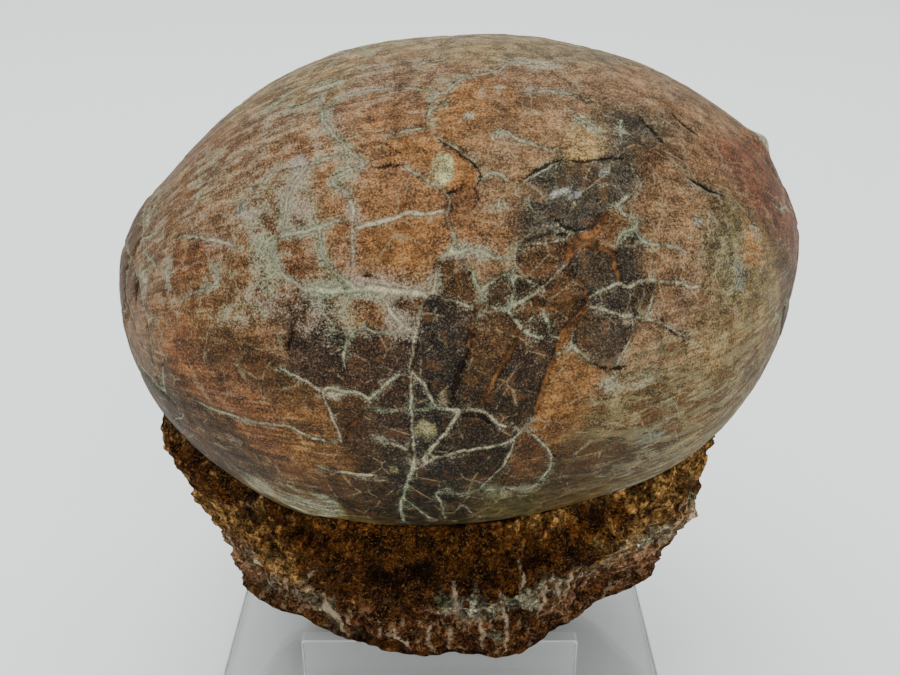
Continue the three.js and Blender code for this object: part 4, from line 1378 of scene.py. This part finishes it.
def make_sheet(name, node, upright):
    """A piece of sheet in the node's box: a rounded outline carried through its thickness, drawn in
    by the chamfer at both faces, and closed by a face at each end."""
    low, high = (np.array(corner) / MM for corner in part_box(node))
    middle = (low + high) / 2
    size = high - low
    order = [0, 2, 1] if upright else [0, 1, 2]
    half = size[order] / 2
    turns = np.radians(np.linspace(0, 90, CORNER_STEPS + 1))
    outline = []
    for quarter, (sx, sy) in enumerate(((1, 1), (-1, 1), (-1, -1), (1, -1))):
        swing = turns + quarter * np.pi / 2
        corner = np.array([sx * (half[0] - CORNER), sy * (half[1] - CORNER)])
        outline.append(corner + CORNER * np.stack([np.cos(swing), np.sin(swing)], axis=-1))
    outline = np.concatenate(outline)
    count = len(outline)
    facing = outline / np.array([half[0], half[1]])
    pull = facing / np.abs(facing).max(axis=1, keepdims=True) * CHAMFER
    rings = [(-half[2], 1), (-half[2] + CHAMFER, 0), (half[2] - CHAMFER, 0), (half[2], 1)]
    points = np.concatenate([np.column_stack([outline - pull * share, np.full(count, level)])
                             for level, share in rings])
    if upright:
        points = np.stack([points[:, 0], -points[:, 2], points[:, 1]], axis=-1)
    points = points + middle
    number = np.arange(len(points)).reshape(-1, count)
    after = np.roll(number, -1, axis=1)
    walls = np.stack([number[:-1], after[:-1], after[1:], number[1:]], axis=-1).reshape(-1, 4)
    faces = [number[0, ::-1].tolist(), *walls.tolist(), number[-1].tolist()]
    mesh = bpy.data.meshes.new(name)
    mesh.from_pydata((points * MM).tolist(), [], faces)
    mesh.validate()
    piece = bpy.data.objects.new(name, mesh)
    bpy.context.scene.collection.objects.link(piece)
    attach(piece, "root")
    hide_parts(node)
    return piece


def acrylic_finish():
    """Clear cast acrylic: colourless, see-through and polished, dulled a little by handling."""
    acrylic = Finish("clear_acrylic")
    haze = acrylic.noise(14, 3, 0.6)
    acrylic.set(Base_Color=(0.99, 1.0, 0.995), Transmission_Weight=FACE_CLEARNESS, IOR=ACRYLIC_IOR)
    acrylic.set(Roughness=acrylic.ramp(haze, 0.4, 0.75, 0.0, 0.04))
    return acrylic.material


def edge_finish():
    """The sawn edges of the sheet: fine saw marks across a satin, milky face."""
    edge = Finish("sawn_acrylic_edge")
    marks = edge.noise(0.5, 3, 0.6, edge.stretch((1, 1, 10)))
    edge.set(Base_Color=paint(244, 248, 246), Transmission_Weight=EDGE_CLEARNESS, IOR=ACRYLIC_IOR)
    edge.set(Roughness=edge.ramp(marks, 0.3, 0.7, 0.3, 0.5))
    edge.set(Normal=edge.relief(marks, 0.05))
    return edge.material


clear = acrylic_finish()
sawn = edge_finish()
for name, node, upright in (("stand_plate", "base_plate", False),
                            ("stand_front_rail", "front_rail", True),
                            ("stand_back_rail", "back_rail", True)):
    sheet = make_sheet(name, node, upright)
    sheet.data.materials.append(clear)
    sheet.data.materials.append(sawn)
    slots = np.ones(len(sheet.data.polygons), np.int32)
    slots[[0, -1]] = 0
    sheet.data.polygons.foreach_set("material_index", slots)

# ---------------------------------------------------------------------------------------------
# The table, the light and the camera. A pale plain surface, one large soft light above and a
# weaker one in front, and the camera looking a little down on the egg.
# ---------------------------------------------------------------------------------------------

FLOOR_SIZE = 6.0  # metres, as all lengths of this section
FLOOR_DROP = 0.0002
TOP_POWER = 18
FRONT_POWER = 9
WORLD_COLOUR = (0.95, 0.98, 0.985, 1)
WORLD_STRENGTH = 1.14
CAMERA_PLACE = (2.2 * MM, -195.0 * MM, 178.9 * MM)
CAMERA_DOWN = 26.7  # degrees below level
CAMERA_LENS = 40.0  # mm
SENSOR_WIDTH = 36.0  # mm

floor_mesh = bpy.data.meshes.new("floor")
side = FLOOR_SIZE / 2
floor_mesh.from_pydata([(-side, -side, 0), (side, -side, 0), (side, side, 0), (-side, side, 0)], [],
                       [(0, 1, 2, 3)])
floor = bpy.data.objects.new("floor", floor_mesh)
floor.location.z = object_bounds()[0][2] - FLOOR_DROP
bpy.context.scene.collection.objects.link(floor)
floor_finish = Finish("floor")
floor_finish.set(Base_Color=paint(243, 248, 245), Roughness=0.7)
floor.data.materials.append(floor_finish.material)


def soft_light(name, place, aim, size, power):
    """A square area light at a place, turned to face a point."""
    lamp = bpy.data.lights.new(name, "AREA")
    lamp.size = size
    lamp.energy = power
    holder = bpy.data.objects.new(name, lamp)
    holder.location = place
    away = np.array(place) - np.array(aim)
    flat = np.hypot(away[0], away[1])
    holder.rotation_euler = (np.arctan2(flat, away[2]), 0, np.arctan2(away[0], -away[1]))
    bpy.context.scene.collection.objects.link(holder)


soft_light("top_light", (-0.15, 0.35, 1.4), (0, 0.1, 0.05), 1.6, TOP_POWER)
soft_light("front_light", (0.35, -1.2, 0.55), (0, 0, 0.03), 1.0, FRONT_POWER)

world = bpy.data.worlds.new("studio")
world.use_nodes = True
background = world.node_tree.nodes["Background"]
background.inputs["Color"].default_value = WORLD_COLOUR
background.inputs["Strength"].default_value = WORLD_STRENGTH
bpy.context.scene.world = world

camera_data = bpy.data.cameras.new("camera")
camera_data.lens = CAMERA_LENS
camera_data.sensor_width = SENSOR_WIDTH
camera = bpy.data.objects.new("camera", camera_data)
camera.location = CAMERA_PLACE
camera.rotation_euler = (np.radians(90 - CAMERA_DOWN), 0, 0)
bpy.context.scene.collection.objects.link(camera)
bpy.context.scene.camera = camera
